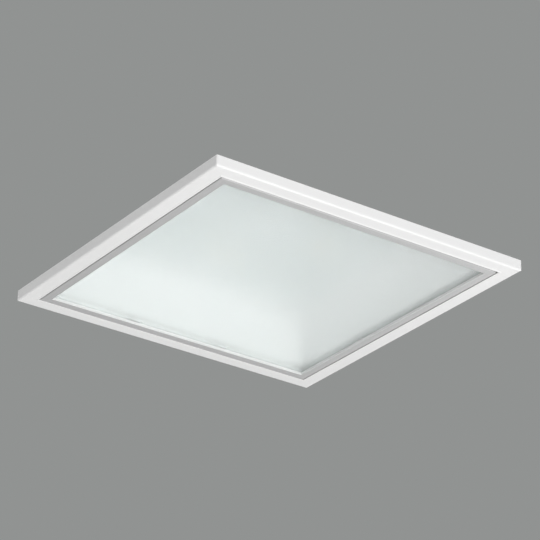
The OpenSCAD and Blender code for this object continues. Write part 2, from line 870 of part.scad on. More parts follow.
module at_wiring_box_screws() {
  for (side = [-1, 1])
    translate([wbox_mid[0] + side * (wbox_x / 2 - wbox_screw_in),
      wbox_mid[1] + side * (wbox_y / 2 - wbox_screw_in), 0]) children();
}

module wiring_box() {
  color("whitesmoke") difference() {
    union() {
      block([wbox_x0, wbox_y0, top_z], [wbox_x1, wbox_y1, wbox_top]);
      for (side = [-1, 1]) box_knuckle(wbox_mid[0] + side * knuckle_at - knuckle_w / 2);
    }
    block([wbox_x0 + wbox_wall, wbox_y0 + wbox_wall, wbox_floor_z],
      [wbox_x1 - wbox_wall, wbox_y1 - wbox_wall, wbox_top + cut]);
    rod_x([wbox_x0, lid_axis_y, lid_axis_z], wbox_x, lid_pin_r + tight);
    for (pole = [-1:1]) rod_y([wbox_mid[0] + pole * pole_pitch, wbox_y0 - cut, wire_z],
      wbox_wall + 2 * cut, mains_r + wire_play);
    rod_x([wbox_x1 - wbox_wall - cut, wbox_mid[1], gland_z], wbox_wall + 2 * cut, gland_r + slack);
    at_wiring_box_screws() translate([0, 0, top_z - cut]) cylinder(h = wbox_wall + 2 * cut, r = m3_r + slack);
  }
}

// a knuckle of the box: a barrel on a web that joins it to the back wall
module box_knuckle(x) {
  rod_x([x, lid_axis_y, lid_axis_z], knuckle_w, knuckle_r);
  block([x, wbox_y1 - bite, lid_axis_z - knuckle_r - knuckle_root], [x + knuckle_w, lid_axis_y, lid_axis_z]);
}

module wiring_box_lid() {
  x = wbox_mid[0] - lid_knuckle_w / 2;
  color("white") difference() {
    union() {
      block([wbox_x0, wbox_y0, lid_z], [wbox_x1, wbox_y1, lid_z + lid_t]);
      rod_x([x, lid_axis_y, lid_axis_z], lid_knuckle_w, knuckle_r);
      block([x, wbox_y1 - bite, lid_z + seat], [x + lid_knuckle_w, lid_axis_y, lid_z + lid_t]);
      // the lip at the free edge that a finger lifts
      block([wbox_mid[0] - lid_lip_w / 2, wbox_y0 - lid_lip, lid_z],
        [wbox_mid[0] + lid_lip_w / 2, wbox_y0 + bite, lid_z + lid_t]);
    }
    rod_x([x - cut, lid_axis_y, lid_axis_z], lid_knuckle_w + 2 * cut, lid_pin_r + run);
  }
}

module lid_pin() {
  half = knuckle_at + knuckle_w / 2;
  color("silver") rod_x([wbox_mid[0] - half, lid_axis_y, lid_axis_z], 2 * half, lid_pin_r);
}

module wiring_box_screws() {
  color("silver") at_wiring_box_screws() translate([0, 0, wbox_floor_z])
    cross_screw(m3_r, wbox_wall + sheet - m3_short, m3_head_r, m3_head_h);
}

// terminal block: three poles, ports for the mains wires at the back, cheeks that hold the lever pin
module terminal_block() {
  half = block_x / 2;
  color("lightgray") difference() {
    union() {
      block([wbox_mid[0] - half, block_y0, wbox_floor_z],
        [wbox_mid[0] + half, block_y0 + block_y, block_top]);
      for (side = [0, 1]) translate([wbox_mid[0], 0, 0]) mirror([side, 0, 0])
        block([half, block_y0, wbox_floor_z],
          [half + block_cheek, lever_y + lever_hub_r + cheek_past, lever_z + lever_hub_r]);
    }
    rod_x([wbox_mid[0] - half - block_cheek - cut, lever_y, lever_z],
      block_x + 2 * block_cheek + 2 * cut, lever_pin_r + tight);
    for (pole = [-1:1]) rod_y([wbox_mid[0] + pole * pole_pitch, block_y0 + block_y - block_port, wire_z],
      block_port + cut, mains_r + wire_play);
  }
}

// a lever lies on the block and lifts about the pin at the front
module terminal_lever(pole) {
  x = wbox_mid[0] + pole * pole_pitch - lever_w / 2;
  color("orangered") difference() {
    union() {
      rod_x([x, lever_y, lever_z], lever_w, lever_hub_r);
      block([x, lever_y, lever_z - lever_low], [x + lever_w, lever_y + lever_len, lever_z + lever_high]);
      block([x, lever_y + lever_len - lever_tip, block_top + seat],
        [x + lever_w, lever_y + lever_len, lever_z]);
    }
    rod_x([x - cut, lever_y, lever_z], lever_w + 2 * cut, lever_pin_r + run);
  }
}

module lever_pin() {
  half = block_x / 2 + block_cheek;
  color("silver") rod_x([wbox_mid[0] - half, lever_y, lever_z], 2 * half, lever_pin_r);
}

// cable gland through the box's wall, its parts on one axis along X
module gland_body() {
  inside = wbox_wall + locknut_t + locknut_past;
  len = inside + gland_hex_t + gland_thread;
  color("gray") difference() {
    union() {
      rod_x([wbox_x1 - inside, wbox_mid[1], gland_z], len, gland_r);
      hex_x(wbox_x1, gland_hex_t, gland_hex_r);
    }
    rod_x([wbox_x1 - inside - cut, wbox_mid[1], gland_z], len + 2 * cut, cable_r + wire_play);
    rod_x([wbox_x1 + gland_hex_t, wbox_mid[1], gland_z], gland_thread + cut, gland_seal_r + tight);
  }
}

// a hexagonal prism along X on the gland's axis
module hex_x(x, len, r) {
  translate([x, wbox_mid[1], gland_z]) rotate([0, 90, 0]) cylinder(h = len, r = r, $fn = 6);
}

module gland_locknut() {
  x = wbox_x1 - wbox_wall - locknut_t;
  color("gray") difference() {
    hex_x(x, locknut_t, locknut_r);
    rod_x([x - cut, wbox_mid[1], gland_z], locknut_t + 2 * cut, gland_r + tight);
  }
}

module gland_seal() {
  color("black") difference() {
    rod_x([wbox_x1 + gland_hex_t, wbox_mid[1], gland_z], gland_seal_len, gland_seal_r);
    rod_x([wbox_x1 + gland_hex_t - cut, wbox_mid[1], gland_z], gland_seal_len + 2 * cut, cable_r);
  }
}

module gland_cap() {
  x = wbox_x1 + gland_hex_t;
  color("gray") difference() {
    rod_x([x, wbox_mid[1], gland_z], gland_cap_len, gland_cap_r);
    rod_x([x - cut, wbox_mid[1], gland_z], gland_cap_len - gland_cap_end + cut, gland_r + tight);
    rod_x([x, wbox_mid[1], gland_z], gland_cap_len + cut, cable_r + wire_play);
  }
}

// line and neutral leads, from the block through the box's wall and round to the driver
module mains_leads() {
  for (lead = [[-1, 1, "saddlebrown"], [0, -1, "royalblue"]]) {
    x = wbox_mid[0] + lead[0] * pole_pitch;
    y = driver_y + lead[1] * port_off;
    color(lead[2]) {
      rod_y([x, y + lead_bend, wire_z], block_y0 - y - lead_bend, mains_r);
      translate([x - lead_bend, y + lead_bend, wire_z]) rotate([0, 0, -90])
        rotate_extrude(angle = 90) translate([lead_bend, 0]) circle(mains_r);
      rod_x([driver_x1, y, wire_z], x - lead_bend - driver_x1, mains_r);
    }
  }
}

module earth_stud() {
  color("silver") translate([earth_x, earth_y, top_z]) cylinder(h = stud_h, r = stud_r);
}

module earth_nuts() {
  color("goldenrod") for (z = [top_z, top_z + nut_h + tight, lug_z + lug_t]) translate([earth_x, earth_y, z])
    difference() {
      cylinder(h = nut_h, r = nut_r, $fn = 6);
      translate([0, 0, -cut]) cylinder(h = nut_h + 2 * cut, r = stud_r + tight);
    }
}

module earth_lug() {
  color("silver") difference() {
    union() {
      translate([earth_x, earth_y, lug_z]) cylinder(h = lug_t, r = lug_r);
      block([earth_x - barrel_r, earth_y, lug_z],
        [earth_x + barrel_r, earth_y + lug_neck + barrel_len, lug_z + lug_t]);
      rod_y([earth_x, earth_y + lug_neck, wire_z], barrel_len, barrel_r);
    }
    translate([earth_x, earth_y, lug_z - cut]) cylinder(h = lug_t + 2 * cut, r = stud_r + tight);
    rod_y([earth_x, earth_y + lug_neck + barrel_stop, wire_z], barrel_len, mains_r + tight);
  }
}

module earth_lead() {
  start = earth_y + lug_neck + barrel_stop;
  color("limegreen") rod_y([earth_x, start, wire_z], block_y0 - start, mains_r);
}

// sprung ceiling clips

// places its children at each clip's axis, with +X pointing away from the housing
module at_clips() {
  for (c = CLIPS) at_clip(c) children();
}
module at_clip(c) {
  mirror([c[0] < 0 ? 1 : 0, 0, 0]) translate([clip_x, c[1] * clip_at, clip_z]) children();
}

module clip_brackets() {
  color("silver") at_clips() difference() {
    union() {
      block([-axis_off, -bracket_half_w, -bracket_half_h],
        [ear_t - axis_off, bracket_half_w, bracket_half_h]);
      for (side = [0, 1]) mirror([0, side, 0]) {
        block([-axis_off, ears_in / 2, -coil_out_r], [0, bracket_half_w, coil_out_r]);
        rod_y([0, ears_in / 2, 0], ear_t, coil_out_r);
        // the tab that stops this leg of the arm
        block([-axis_off, leg_y - tab_w / 2, -tab_drop - ear_t], [tab_reach, leg_y + tab_w / 2, -tab_drop]);
      }
    }
    rod_y([0, -bracket_half_w - cut, 0], 2 * bracket_half_w + 2 * cut, clip_pin_r + tight);
    for (side = [-1, 1]) translate([0, 0, side * bracket_rivet_at])
      rod_x([-axis_off - cut, 0, 0], ear_t + 2 * cut, bracket_rivet_r + tight);
  }
}

module bracket_rivets() {
  color("silver") at_clips() for (side = [-1, 1]) translate([ear_t - axis_off, 0, side * bracket_rivet_at])
    rotate([0, 90, 0]) rivet(bracket_rivet_r, ear_t + sheet, bracket_rivet_head_r, bracket_rivet_head_h);
}

module clip_pins() {
  color("silver") at_clips() {
    rod_y([0, -bracket_half_w, 0], 2 * bracket_half_w, clip_pin_r);
    for (side = [0, 1]) mirror([0, side, 0])
      rod_y([0, bracket_half_w, 0], clip_pin_head_h, clip_pin_head_r);
  }
}

// one spring: two coils on the pin, two legs and the cross wire at the tip
module clip_arm(c) {
  color("silver") at_clip(c) rotate([0, arm_slope, 0]) difference() {
    union() {
      for (side = [0, 1]) mirror([0, side, 0]) {
        rod_y([0, coil_near, 0], coil_len, coil_out_r);
        rod_x([0, leg_y, -coil_mid_r], arm_len - bend_r, wire_r);
        translate([arm_len - bend_r, leg_y - bend_r, -coil_mid_r])
          rotate_extrude(angle = 90) translate([bend_r, 0]) circle(wire_r);
      }
      rod_y([arm_len, -leg_y + bend_r, -coil_mid_r], 2 * (leg_y - bend_r), wire_r);
    }
    rod_y([0, -ears_in, 0], 2 * ears_in, coil_in_r);
  }
}

module clip_sleeve(c) {
  half = leg_y - bend_r;
  color("gainsboro") at_clip(c) rotate([0, arm_slope, 0]) difference() {
    rod_y([arm_len, -half, -coil_mid_r], 2 * half, sleeve_r);
    rod_y([arm_len, -half - cut, -coil_mid_r], 2 * half + 2 * cut, wire_r + tight);
  }
}

bezel();
bezel_screws();
ceiling_gasket();
hinge_pins();
hinge_pin_screws();
housing();
door_frame();
glass_panel();
glass_gasket();
glass_clips();
door_screws();
catch_blades();
catch_clips();
catch_rivets();
led_boards();
led_chips();
board_screws();
board_connectors();
board_links();
led_leads();
wire_grommet();
driver_case();
driver_cover();
driver_board();
driver_parts();
driver_terminals();
driver_screws();
wiring_box();
wiring_box_lid();
lid_pin();
wiring_box_screws();
terminal_block();
terminal_lever(-1);  // terminal_lever_line
terminal_lever(0);  // terminal_lever_neutral
terminal_lever(1);  // terminal_lever_earth
lever_pin();
gland_body();
gland_locknut();
gland_seal();
gland_cap();
mains_leads();
earth_stud();
earth_nuts();
earth_lug();
earth_lead();
clip_brackets();
bracket_rivets();
clip_pins();
clip_arm(CLIPS[0]);  // clip_arm_left_front
clip_arm(CLIPS[1]);  // clip_arm_left_back
clip_arm(CLIPS[2]);  // clip_arm_right_front
clip_arm(CLIPS[3]);  // clip_arm_right_back
clip_sleeve(CLIPS[0]);  // clip_sleeve_left_front
clip_sleeve(CLIPS[1]);  // clip_sleeve_left_back
clip_sleeve(CLIPS[2]);  // clip_sleeve_right_front
clip_sleeve(CLIPS[3]);  // clip_sleeve_right_back
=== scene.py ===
import json
from math import cos, pi, radians, sin

import bmesh
import bpy
from mathutils import Matrix, Vector


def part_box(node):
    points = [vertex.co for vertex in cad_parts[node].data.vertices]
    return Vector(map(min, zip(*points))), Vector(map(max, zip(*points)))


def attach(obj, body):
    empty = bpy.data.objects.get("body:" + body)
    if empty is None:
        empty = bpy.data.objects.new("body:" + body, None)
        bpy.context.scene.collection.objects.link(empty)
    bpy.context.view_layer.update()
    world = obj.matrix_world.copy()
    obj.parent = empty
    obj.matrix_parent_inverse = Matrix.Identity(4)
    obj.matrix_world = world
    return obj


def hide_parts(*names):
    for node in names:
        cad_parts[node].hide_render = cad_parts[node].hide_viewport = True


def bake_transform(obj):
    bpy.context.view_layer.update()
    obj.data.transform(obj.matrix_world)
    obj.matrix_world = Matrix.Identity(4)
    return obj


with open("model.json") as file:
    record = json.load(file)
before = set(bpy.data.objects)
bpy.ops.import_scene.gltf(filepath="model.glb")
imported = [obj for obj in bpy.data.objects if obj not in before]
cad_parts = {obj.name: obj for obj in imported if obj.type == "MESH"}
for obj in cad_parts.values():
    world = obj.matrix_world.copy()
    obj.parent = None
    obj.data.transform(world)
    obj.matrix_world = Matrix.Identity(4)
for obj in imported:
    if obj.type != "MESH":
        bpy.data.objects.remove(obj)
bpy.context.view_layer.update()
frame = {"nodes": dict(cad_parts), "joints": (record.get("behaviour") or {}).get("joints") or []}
nodes = frame["nodes"]
scene = bpy.context.scene
mm = 0.001  # sizes and places of the pieces are given in millimetres
print("frame loaded:", len(nodes), "nodes")


# camera at the photo's angle, from below and looking up
cameraLook = dict(lens=177.72, place=(-1.12211, -1.63753, -0.97109), azimuth=55.478, elevation=26.199,
                  roll=1.198, clipFrom=0.02, clipTo=60)


def placeCamera(look):
    turn, lift, roll = (radians(look[k]) for k in ("azimuth", "elevation", "roll"))
    ahead = Vector((cos(lift) * cos(turn), cos(lift) * sin(turn), sin(lift)))
    level = ahead.cross(Vector((0, 0, 1))).normalized()
    right = level * cos(roll) + level.cross(ahead) * sin(roll)
    up = right.cross(ahead)
    camera = bpy.data.objects.new("viewCamera", bpy.data.cameras.new("viewCamera"))
    camera.data.lens = look["lens"]
    camera.data.clip_start = look["clipFrom"]
    camera.data.clip_end = look["clipTo"]
    camera.matrix_world = Matrix((right, up, -ahead)).transposed().to_4x4()
    camera.location = look["place"]
    scene.collection.objects.link(camera)
    scene.camera = camera


placeCamera(cameraLook)
scene.view_settings.view_transform = "Standard"


# shader helpers: a node with its inputs, sums on numbers and places, a group with its sockets
def wire(tree, socket, value):
    if isinstance(value, bpy.types.NodeSocket):
        tree.links.new(value, socket)
    elif isinstance(value, tuple) and len(value) == 3 and socket.type == "RGBA":
        socket.default_value = (*value, 1)
    else:
        socket.default_value = value


def addNode(tree, kind, inputs=None, **settings):
    node = tree.nodes.new(kind)
    for key, value in settings.items():
        setattr(node, key, value)
    for key, value in (inputs or {}).items():
        wire(tree, node.inputs[key], value)
    return node


def calc(tree, operation, a, b=0.0, c=0.0):
    return addNode(tree, "ShaderNodeMath", {0: a, 1: b, 2: c}, operation=operation).outputs[0]


def times(tree, a, b):
    return calc(tree, "MULTIPLY", a, b)


# a number from 0 to 1 is spread evenly to both sides of a middle
def spreadAbout(tree, value, spread, middle):
    return calc(tree, "MULTIPLY_ADD", calc(tree, "SUBTRACT", value, 0.5), spread * 2, middle)


def vectorCalc(tree, operation, a, b):
    return addNode(tree, "ShaderNodeVectorMath", {0: a, 1: b}, operation=operation).outputs


# the Mix node takes its two numbers in sockets 2 and 3, and its two colours in sockets 6 and 7
def blendNumber(tree, amount, a, b):
    return addNode(tree, "ShaderNodeMix", {0: amount, 2: a, 3: b}).outputs[0]


def blendColor(tree, amount, a, b, how="MIX"):
    node = addNode(tree, "ShaderNodeMix", {0: amount, 6: a, 7: b}, data_type="RGBA", blend_type=how)
    return node.outputs[2]


def greyOf(tree, value):
    return addNode(tree, "ShaderNodeCombineColor", {0: value, 1: value, 2: value}).outputs[0]


def noise(tree, place, scale, detail=3.0, rough=0.55):
    inputs = {"Vector": place, "Scale": scale, "Detail": detail, "Roughness": rough}
    return addNode(tree, "ShaderNodeTexNoise", inputs).outputs["Fac"]


def steps(tree, value, low, high, to=(0.0, 1.0), how="SMOOTHSTEP"):
    inputs = {"Value": value, "From Min": low, "From Max": high, "To Min": to[0], "To Max": to[1]}
    return addNode(tree, "ShaderNodeMapRange", inputs, interpolation_type=how).outputs[0]


def objectPlace(tree):
    return addNode(tree, "ShaderNodeTexCoord").outputs["Object"]


def splitPlace(tree, place):
    return addNode(tree, "ShaderNodeSeparateXYZ", {0: place}).outputs


# how far a place lies off the middle in X and in Y
def offMiddle(tree, axis):
    return [calc(tree, "ABSOLUTE", axis[name]) for name in ("X", "Y")]


def facingUp(tree):
    return splitPlace(tree, addNode(tree, "ShaderNodeTexCoord").outputs["Normal"])["Z"]


def newGroup(name, inputs, outputs):
    group = bpy.data.node_groups.new(name, "ShaderNodeTree")
    for key, kind, value in inputs:
        socket = group.interface.new_socket(key, in_out="INPUT", socket_type="NodeSocket" + kind)
        if value is not None:
            socket.default_value = value
    for key, kind in outputs:
        group.interface.new_socket(key, in_out="OUTPUT", socket_type="NodeSocket" + kind)
    return group, group.nodes.new("NodeGroupInput").outputs, group.nodes.new("NodeGroupOutput").inputs


def useGroup(tree, group, **inputs):
    return addNode(tree, "ShaderNodeGroup", inputs, node_tree=group).outputs


# colour that drifts a little over the surface
driftMix = dict(wideDetail=4.0, wideShare=1.4, fineScale=9.0, fineDetail=2.0, fineShare=0.6)


def buildColorDrift(look):
    group, given, out = newGroup("colorDrift", [
        ("Place", "Vector", None), ("Color", "Color", (1, 1, 1, 1)), ("Amount", "Float", 0.03),
        ("Scale", "Float", 30.0)], [("Color", "Color")])
    wide = noise(group, given["Place"], given["Scale"], look["wideDetail"])
    fine = noise(group, given["Place"], times(group, given["Scale"], look["fineScale"]), look["fineDetail"])
    both = calc(group, "ADD", times(group, wide, look["wideShare"]), times(group, fine, look["fineShare"]))
    shift = calc(group, "MULTIPLY_ADD", calc(group, "SUBTRACT", both, 1.0), given["Amount"], 1.0)
    wire(group, out["Color"], blendColor(group, 1.0, given["Color"], greyOf(group, shift), "MULTIPLY"))
    return group


# fine surface: a roughness that varies and a height for the bump
grainMix = dict(smearScale=0.06, smearDetail=3.0, bumpNoise=(2.0, 0.45), bumpShare=0.4, middle=0.7)


def buildFineGrain(look):
    group, given, out = newGroup("fineGrain", [
        ("Place", "Vector", None), ("Scale", "Float", 800.0), ("Roughness", "Float", 0.4),
        ("Spread", "Float", 0.1)], [("Roughness", "Float"), ("Height", "Float")])
    smearScale = times(group, given["Scale"], look["smearScale"])
    smear = noise(group, given["Place"], smearScale, look["smearDetail"])
    bumps = noise(group, given["Place"], given["Scale"], *look["bumpNoise"])
    both = calc(group, "ADD", smear, times(group, bumps, look["bumpShare"]))
    change = calc(group, "SUBTRACT", both, look["middle"])
    rough = calc(group, "MULTIPLY_ADD", change, given["Spread"], given["Roughness"])
    wire(group, out["Roughness"], rough)
    wire(group, out["Height"], bumps)
    return group


# dust that has settled on whatever faces up: a patchy film and single specks
dustLook = dict(color=(0.47, 0.45, 0.41), filmNoise=(14.0, 6.0, 0.68), filmRange=(0.25, 0.8), filmShare=0.6,
                speckNoise=(900.0, 2.0, 0.7), speckRange=(0.54, 0.68), speckShare=0.5,
                levelRange=(0.55, 0.95), duller=0.5)


def buildSettledDust(look):
    group, given, out = newGroup("settledDust", [
        ("Place", "Vector", None), ("Color", "Color", (1, 1, 1, 1)), ("Roughness", "Float", 0.4),
        ("Amount", "Float", 0.3)], [("Color", "Color"), ("Roughness", "Float")])
    facing = facingUp(group)
    film = steps(group, noise(group, given["Place"], *look["filmNoise"]), *look["filmRange"])
    specks = steps(group, noise(group, given["Place"], *look["speckNoise"]), *look["speckRange"])
    film = times(group, film, look["filmShare"])
    specks = times(group, specks, look["speckShare"])
    cover = calc(group, "ADD", film, specks)
    level = steps(group, facing, *look["levelRange"])
    mask = times(group, times(group, level, cover), given["Amount"])
    wire(group, out["Color"], blendColor(group, mask, given["Color"], look["color"]))
    wire(group, out["Roughness"], calc(group, "MULTIPLY_ADD", mask, look["duller"], given["Roughness"]))
    return group


# fine lines left by brushing or drawing, along one axis of the place that comes in
brushMix = dict(closeNoise=(2.0, 0.6), closeShare=0.6, broadScale=0.23, broadDetail=2.0, broadShare=0.4)


def buildBrushLines(look):
    group, given, out = newGroup("brushLines", [
        ("Place", "Vector", None), ("Along", "Vector", None), ("Scale", "Float", 4000.0)],
        [("Lines", "Float")])
    stretched = vectorCalc(group, "MULTIPLY", given["Place"], given["Along"])["Vector"]
    close = noise(group, stretched, given["Scale"], *look["closeNoise"])
    broadScale = times(group, given["Scale"], look["broadScale"])
    broad = noise(group, stretched, broadScale, look["broadDetail"])
    lines = calc(group, "MULTIPLY_ADD", broad, look["broadShare"], times(group, close, look["closeShare"]))
    wire(group, out["Lines"], lines)
    return group


# straight bands that repeat along one number, such as copper tracks; the shift is whole pitches that keep
# the number positive, and half a pitch that puts a band at zero
bandShape = dict(shift=100.5, softEdge=1.25)


def buildBands(look):
    group, given, out = newGroup("repeatedBands", [
        ("Along", "Float", 0.0), ("Pitch", "Float", 0.01), ("Reach", "Float", 0.1)], [("Mask", "Float")])
    pitches = calc(group, "DIVIDE", given["Along"], given["Pitch"])
    part = calc(group, "FRACT", calc(group, "ADD", pitches, look["shift"]))
    away = calc(group, "ABSOLUTE", calc(group, "SUBTRACT", part, 0.5))
    edge = times(group, given["Reach"], look["softEdge"])
    wire(group, out["Mask"], steps(group, away, given["Reach"], edge, (1.0, 0.0), "LINEAR"))
    return group


# painted shade: a dark band painted into the square gap round the door, where the gap lies in shadow, from
# one distance off the middle to another
gapShadeLook = dict(color=(0.03, 0.03, 0.03), patchScale=160.0, patchSpread=0.3, patchLeast=0.85)


def buildGapShade(look):
    group, given, out = newGroup("gapShade", [
        ("Place", "Vector", None), ("Color", "Color", (1, 1, 1, 1)), ("From", "Float", 0.1),
        ("To", "Float", 0.2), ("Amount", "Float", 0.8)], [("Color", "Color")])
    wide = calc(group, "MAXIMUM", *offMiddle(group, splitPlace(group, given["Place"])))
    patches = noise(group, given["Place"], look["patchScale"])
    patches = calc(group, "MULTIPLY_ADD", patches, look["patchSpread"], look["patchLeast"])
    inGap = steps(group, wide, given["From"], given["To"])
    mask = times(group, inGap, times(group, patches, given["Amount"]))
    wire(group, out["Color"], blendColor(group, mask, given["Color"], look["color"]))
    return group


colorDrift = buildColorDrift(driftMix)
fineGrain = buildFineGrain(grainMix)
settledDust = buildSettledDust(dustLook)
brushLines = buildBrushLines(brushMix)
repeatedBands = buildBands(bandShape)
gapShade = buildGapShade(gapShadeLook)

# what a finish has where a piece's own values don't say otherwise; the depths of its bumps are in metres
plainFinish = dict(metallic=0.0, drift=0.04, driftScale=30.0, grainScale=900.0, spread=0.12, dust=0.25,
                   bump=0.15, depth=0.00004, patternBump=0.4, patternDepth=0.0002)


def newMaterial(name, look):
    material = bpy.data.materials.new(name)
    material.use_nodes = True
    shader = material.node_tree.nodes["Principled BSDF"]
    shader.inputs["Metallic"].default_value = look.get("metallic", 0.0)
    for key, value in look.get("shader", {}).items():
        wire(material.node_tree, shader.inputs[key], value)
    return material, material.node_tree, shader


# the surface is part one shader and part another
def mixSurface(tree, amount, a, b):
    mixed = addNode(tree, "ShaderNodeMixShader", {0: amount, 1: a, 2: b}).outputs[0]
    wire(tree, tree.nodes["Material Output"].inputs[0], mixed)


def bump(tree, shader, height, strength, distance, before=None):
    node = addNode(tree, "ShaderNodeBump", {"Height": height, "Strength": strength, "Distance": distance})
    if before is not None:
        wire(tree, node.inputs["Normal"], before)
    wire(tree, shader.inputs["Normal"], node.outputs[0])
    return node.outputs[0]


# the common finish: drifting colour, fine grain, dust on top, and what a piece adds to colour or height
def finish(name, look, addColor=None, addHeight=None):
    look = dict(plainFinish, **look)
    material, tree, shader = newMaterial(name, look)
    place = objectPlace(tree)
    color = look["color"]
    if addColor:
        color = addColor(tree, place, color)
    color = useGroup(tree, colorDrift, Place=place, Color=color, Amount=look["drift"],
                     Scale=look["driftScale"])["Color"]
    grain = useGroup(tree, fineGrain, Place=place, Scale=look["grainScale"], Roughness=look["roughness"],
                     Spread=look["spread"])
    dust = useGroup(tree, settledDust, Place=place, Color=color, Roughness=grain["Roughness"],
                    Amount=look["dust"])
    wire(tree, shader.inputs["Base Color"], dust["Color"])
    wire(tree, shader.inputs["Roughness"], dust["Roughness"])
    normal = bump(tree, shader, grain["Height"], look["bump"], look["depth"])
    if addHeight:
        pattern = addHeight(tree, place)
        bump(tree, shader, pattern, look["patternBump"], look["patternDepth"], normal)
    return material


def dress(material, *names):
    for name in names:
        slots = nodes[name].data.materials
        slots.clear()
        slots.append(material)


# mesh helpers, with their angles in degrees and their gaps in millimetres
meshLimits = dict(smooth=38, sharp=40, flat=0.4, copyGap=0.002, spinGap=0.0001, boxReach=0.05, wireSides=4)


# puts a bmesh, a mesh or a curve in the scene as a finished piece of the object
def finishPiece(name, shape, body, materials, replaced=(), windUp=None):
    modelled = isinstance(shape, bmesh.types.BMesh)
    if modelled:
        made = bpy.data.meshes.new(name)
        shape.to_mesh(made)
        shape.free()
        shape = made
    for material in materials:
        shape.materials.append(material)
    if isinstance(shape, bpy.types.Mesh):
        shape.shade_smooth()
        shape.set_sharp_from_angle(angle=radians(meshLimits["smooth"]))
    piece = bpy.data.objects.new(name, shape)
    scene.collection.objects.link(piece)
    if modelled:
        # wide faces keep their own normal beside rounded edges
        piece.modifiers.new("evenShade", "WEIGHTED_NORMAL").keep_sharp = True
    if windUp:
        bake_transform(piece)
    else:
        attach(piece, body)
    if replaced:
        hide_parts(*replaced)
    return piece


def onBoxEdge(place, low, high):
    near = [min(abs(p - a), abs(p - b)) < meshLimits["boxReach"] * mm for p, a, b in zip(place, low, high)]
    return sum(near) > 1


# a merged copy of a CAD solid, whose sharp edges past a shortest length are rounded; boxOnly keeps to
# the edges that lie along the solid's box
def roundedCopy(node, width, shortest=3, segments=2, boxOnly=False):
    bm = bmesh.new()
    bm.from_mesh(nodes[node].data)
    bmesh.ops.remove_doubles(bm, verts=bm.verts, dist=meshLimits["copyGap"] * mm)
    bmesh.ops.dissolve_limit(bm, angle_limit=radians(meshLimits["flat"]), verts=bm.verts, edges=bm.edges)
    sharp = [e for e in bm.edges if len(e.link_faces) == 2 and e.calc_length() > shortest * mm
             and e.calc_face_angle(0) > radians(meshLimits["sharp"])]
    if boxOnly:
        low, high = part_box(node)
        sharp = [e for e in sharp if onBoxEdge((e.verts[0].co + e.verts[1].co) / 2, low, high)]
    bmesh.ops.bevel(bm, geom=sharp, offset=width * mm, offset_type="OFFSET", segments=segments, profile=0.5,
                    affect="EDGES", clamp_overlap=True, material=-1)
    bmesh.ops.triangulate(bm, faces=[f for f in bm.faces if len(f.verts) > 4])
    return bm


# a CAD node shown as its own rounded copy
def roundedPiece(name, node, body, slotName, material, **edges):
    finishPiece(name, roundedCopy(node, **edges), body, [material], [node])


def addBox(bm, low, high, edge, segments):
    made = bmesh.ops.create_cube(bm, size=1.0)["verts"]
    low, high = Vector(low) * mm, Vector(high) * mm
    bmesh.ops.scale(bm, vec=high - low, verts=made)
    bmesh.ops.translate(bm, vec=(low + high) / 2, verts=made)
    edges = list({e for v in made for e in v.link_edges})
    bmesh.ops.bevel(bm, geom=edges, offset=edge * mm, segments=segments, profile=0.5, affect="EDGES",
                    clamp_overlap=True, material=-1)


# a bmesh that was spun is joined where it meets itself, and its faces are turned outwards
def closeSpin(bm):
    bmesh.ops.remove_doubles(bm, verts=bm.verts, dist=meshLimits["spinGap"] * mm)
    bmesh.ops.recalc_face_normals(bm, faces=bm.faces)


# a profile of (distance along the axis, radius) turned once about an axis through middle, in millimetres
def addTurned(bm, profile, middle, axis, count):
    axis = Vector(axis).normalized()
    across = axis.orthogonal().normalized()
    middle = Vector(middle) * mm
    verts = [bm.verts.new(middle + (axis * along + across * radius) * mm) for along, radius in profile]
    edges = [bm.edges.new(pair) for pair in zip(verts, verts[1:])]
    bmesh.ops.spin(bm, geom=verts + edges, cent=middle, axis=axis, angle=2 * pi, steps=count, use_merge=True)
    closeSpin(bm)


def wireCurve(name, points, radius):
    curve = bpy.data.curves.new(name, "CURVE")
    curve.dimensions = "3D"
    curve.bevel_depth = radius * mm
    curve.bevel_resolution = meshLimits["wireSides"]
    curve.use_fill_caps = True
    spline = curve.splines.new("POLY")
    spline.points.add(len(points) - 1)
    for point, place in zip(spline.points, points):
        point.co = (*(Vector(place) * mm), 1)
    return curve


def curveToMesh(curve):
    maker = bpy.data.objects.new(curve.name, curve)
    scene.collection.objects.link(maker)
    made = bpy.data.meshes.new_from_object(maker.evaluated_get(bpy.context.evaluated_depsgraph_get()))
    bpy.data.objects.remove(maker)
    return made


# a smooth line through a few points, with enough steps to look bent rather than folded
def smoothPath(points, count=8):
    points = [Vector(p) for p in points]
    ends = [points[0] * 2 - points[1], *points, points[-1] * 2 - points[-2]]
    path = []
    for a, b, c, d in zip(ends, ends[1:], ends[2:], ends[3:]):
        for i in range(count):
            t = i / count
            path.append(0.5 * (2 * b + (c - a) * t + (2 * a - 5 * b + 4 * c - d) * t ** 2
                               + (3 * b - a - 3 * c + d) * t ** 3))
    return path + [points[-1]]


# bezel: satin powder coat, with painted shade up in the gap round the door
bezelLook = dict(color=(0.815, 0.815, 0.815), roughness=0.34, spread=0.1, drift=0.012, driftScale=12.0,
                 grainScale=520.0, bump=0.16, depth=0.00004, dust=0.1, gapShadeClear=136.66, gapShadeDark=136.64,
                 wallShadeStart=-9.5, wallShadeFull=-9.3, wallShadeAmount=0.32)


def bezelColor(tree, place, color):
    look = bezelLook
    # painted shade: the bezel's wall up in the gap is darkened, from the level of its face upwards
    amount = steps(tree, splitPlace(tree, place)["Z"], look["wallShadeStart"] * mm, look["wallShadeFull"] * mm,
                   (0.0, look["wallShadeAmount"]))
    return useGroup(tree, gapShade, Place=place, Color=color, From=look["gapShadeClear"] * mm,
                    To=look["gapShadeDark"] * mm, Amount=amount)["Color"]


dress(finish("bezelPaint", bezelLook, addColor=bezelColor), "bezel")

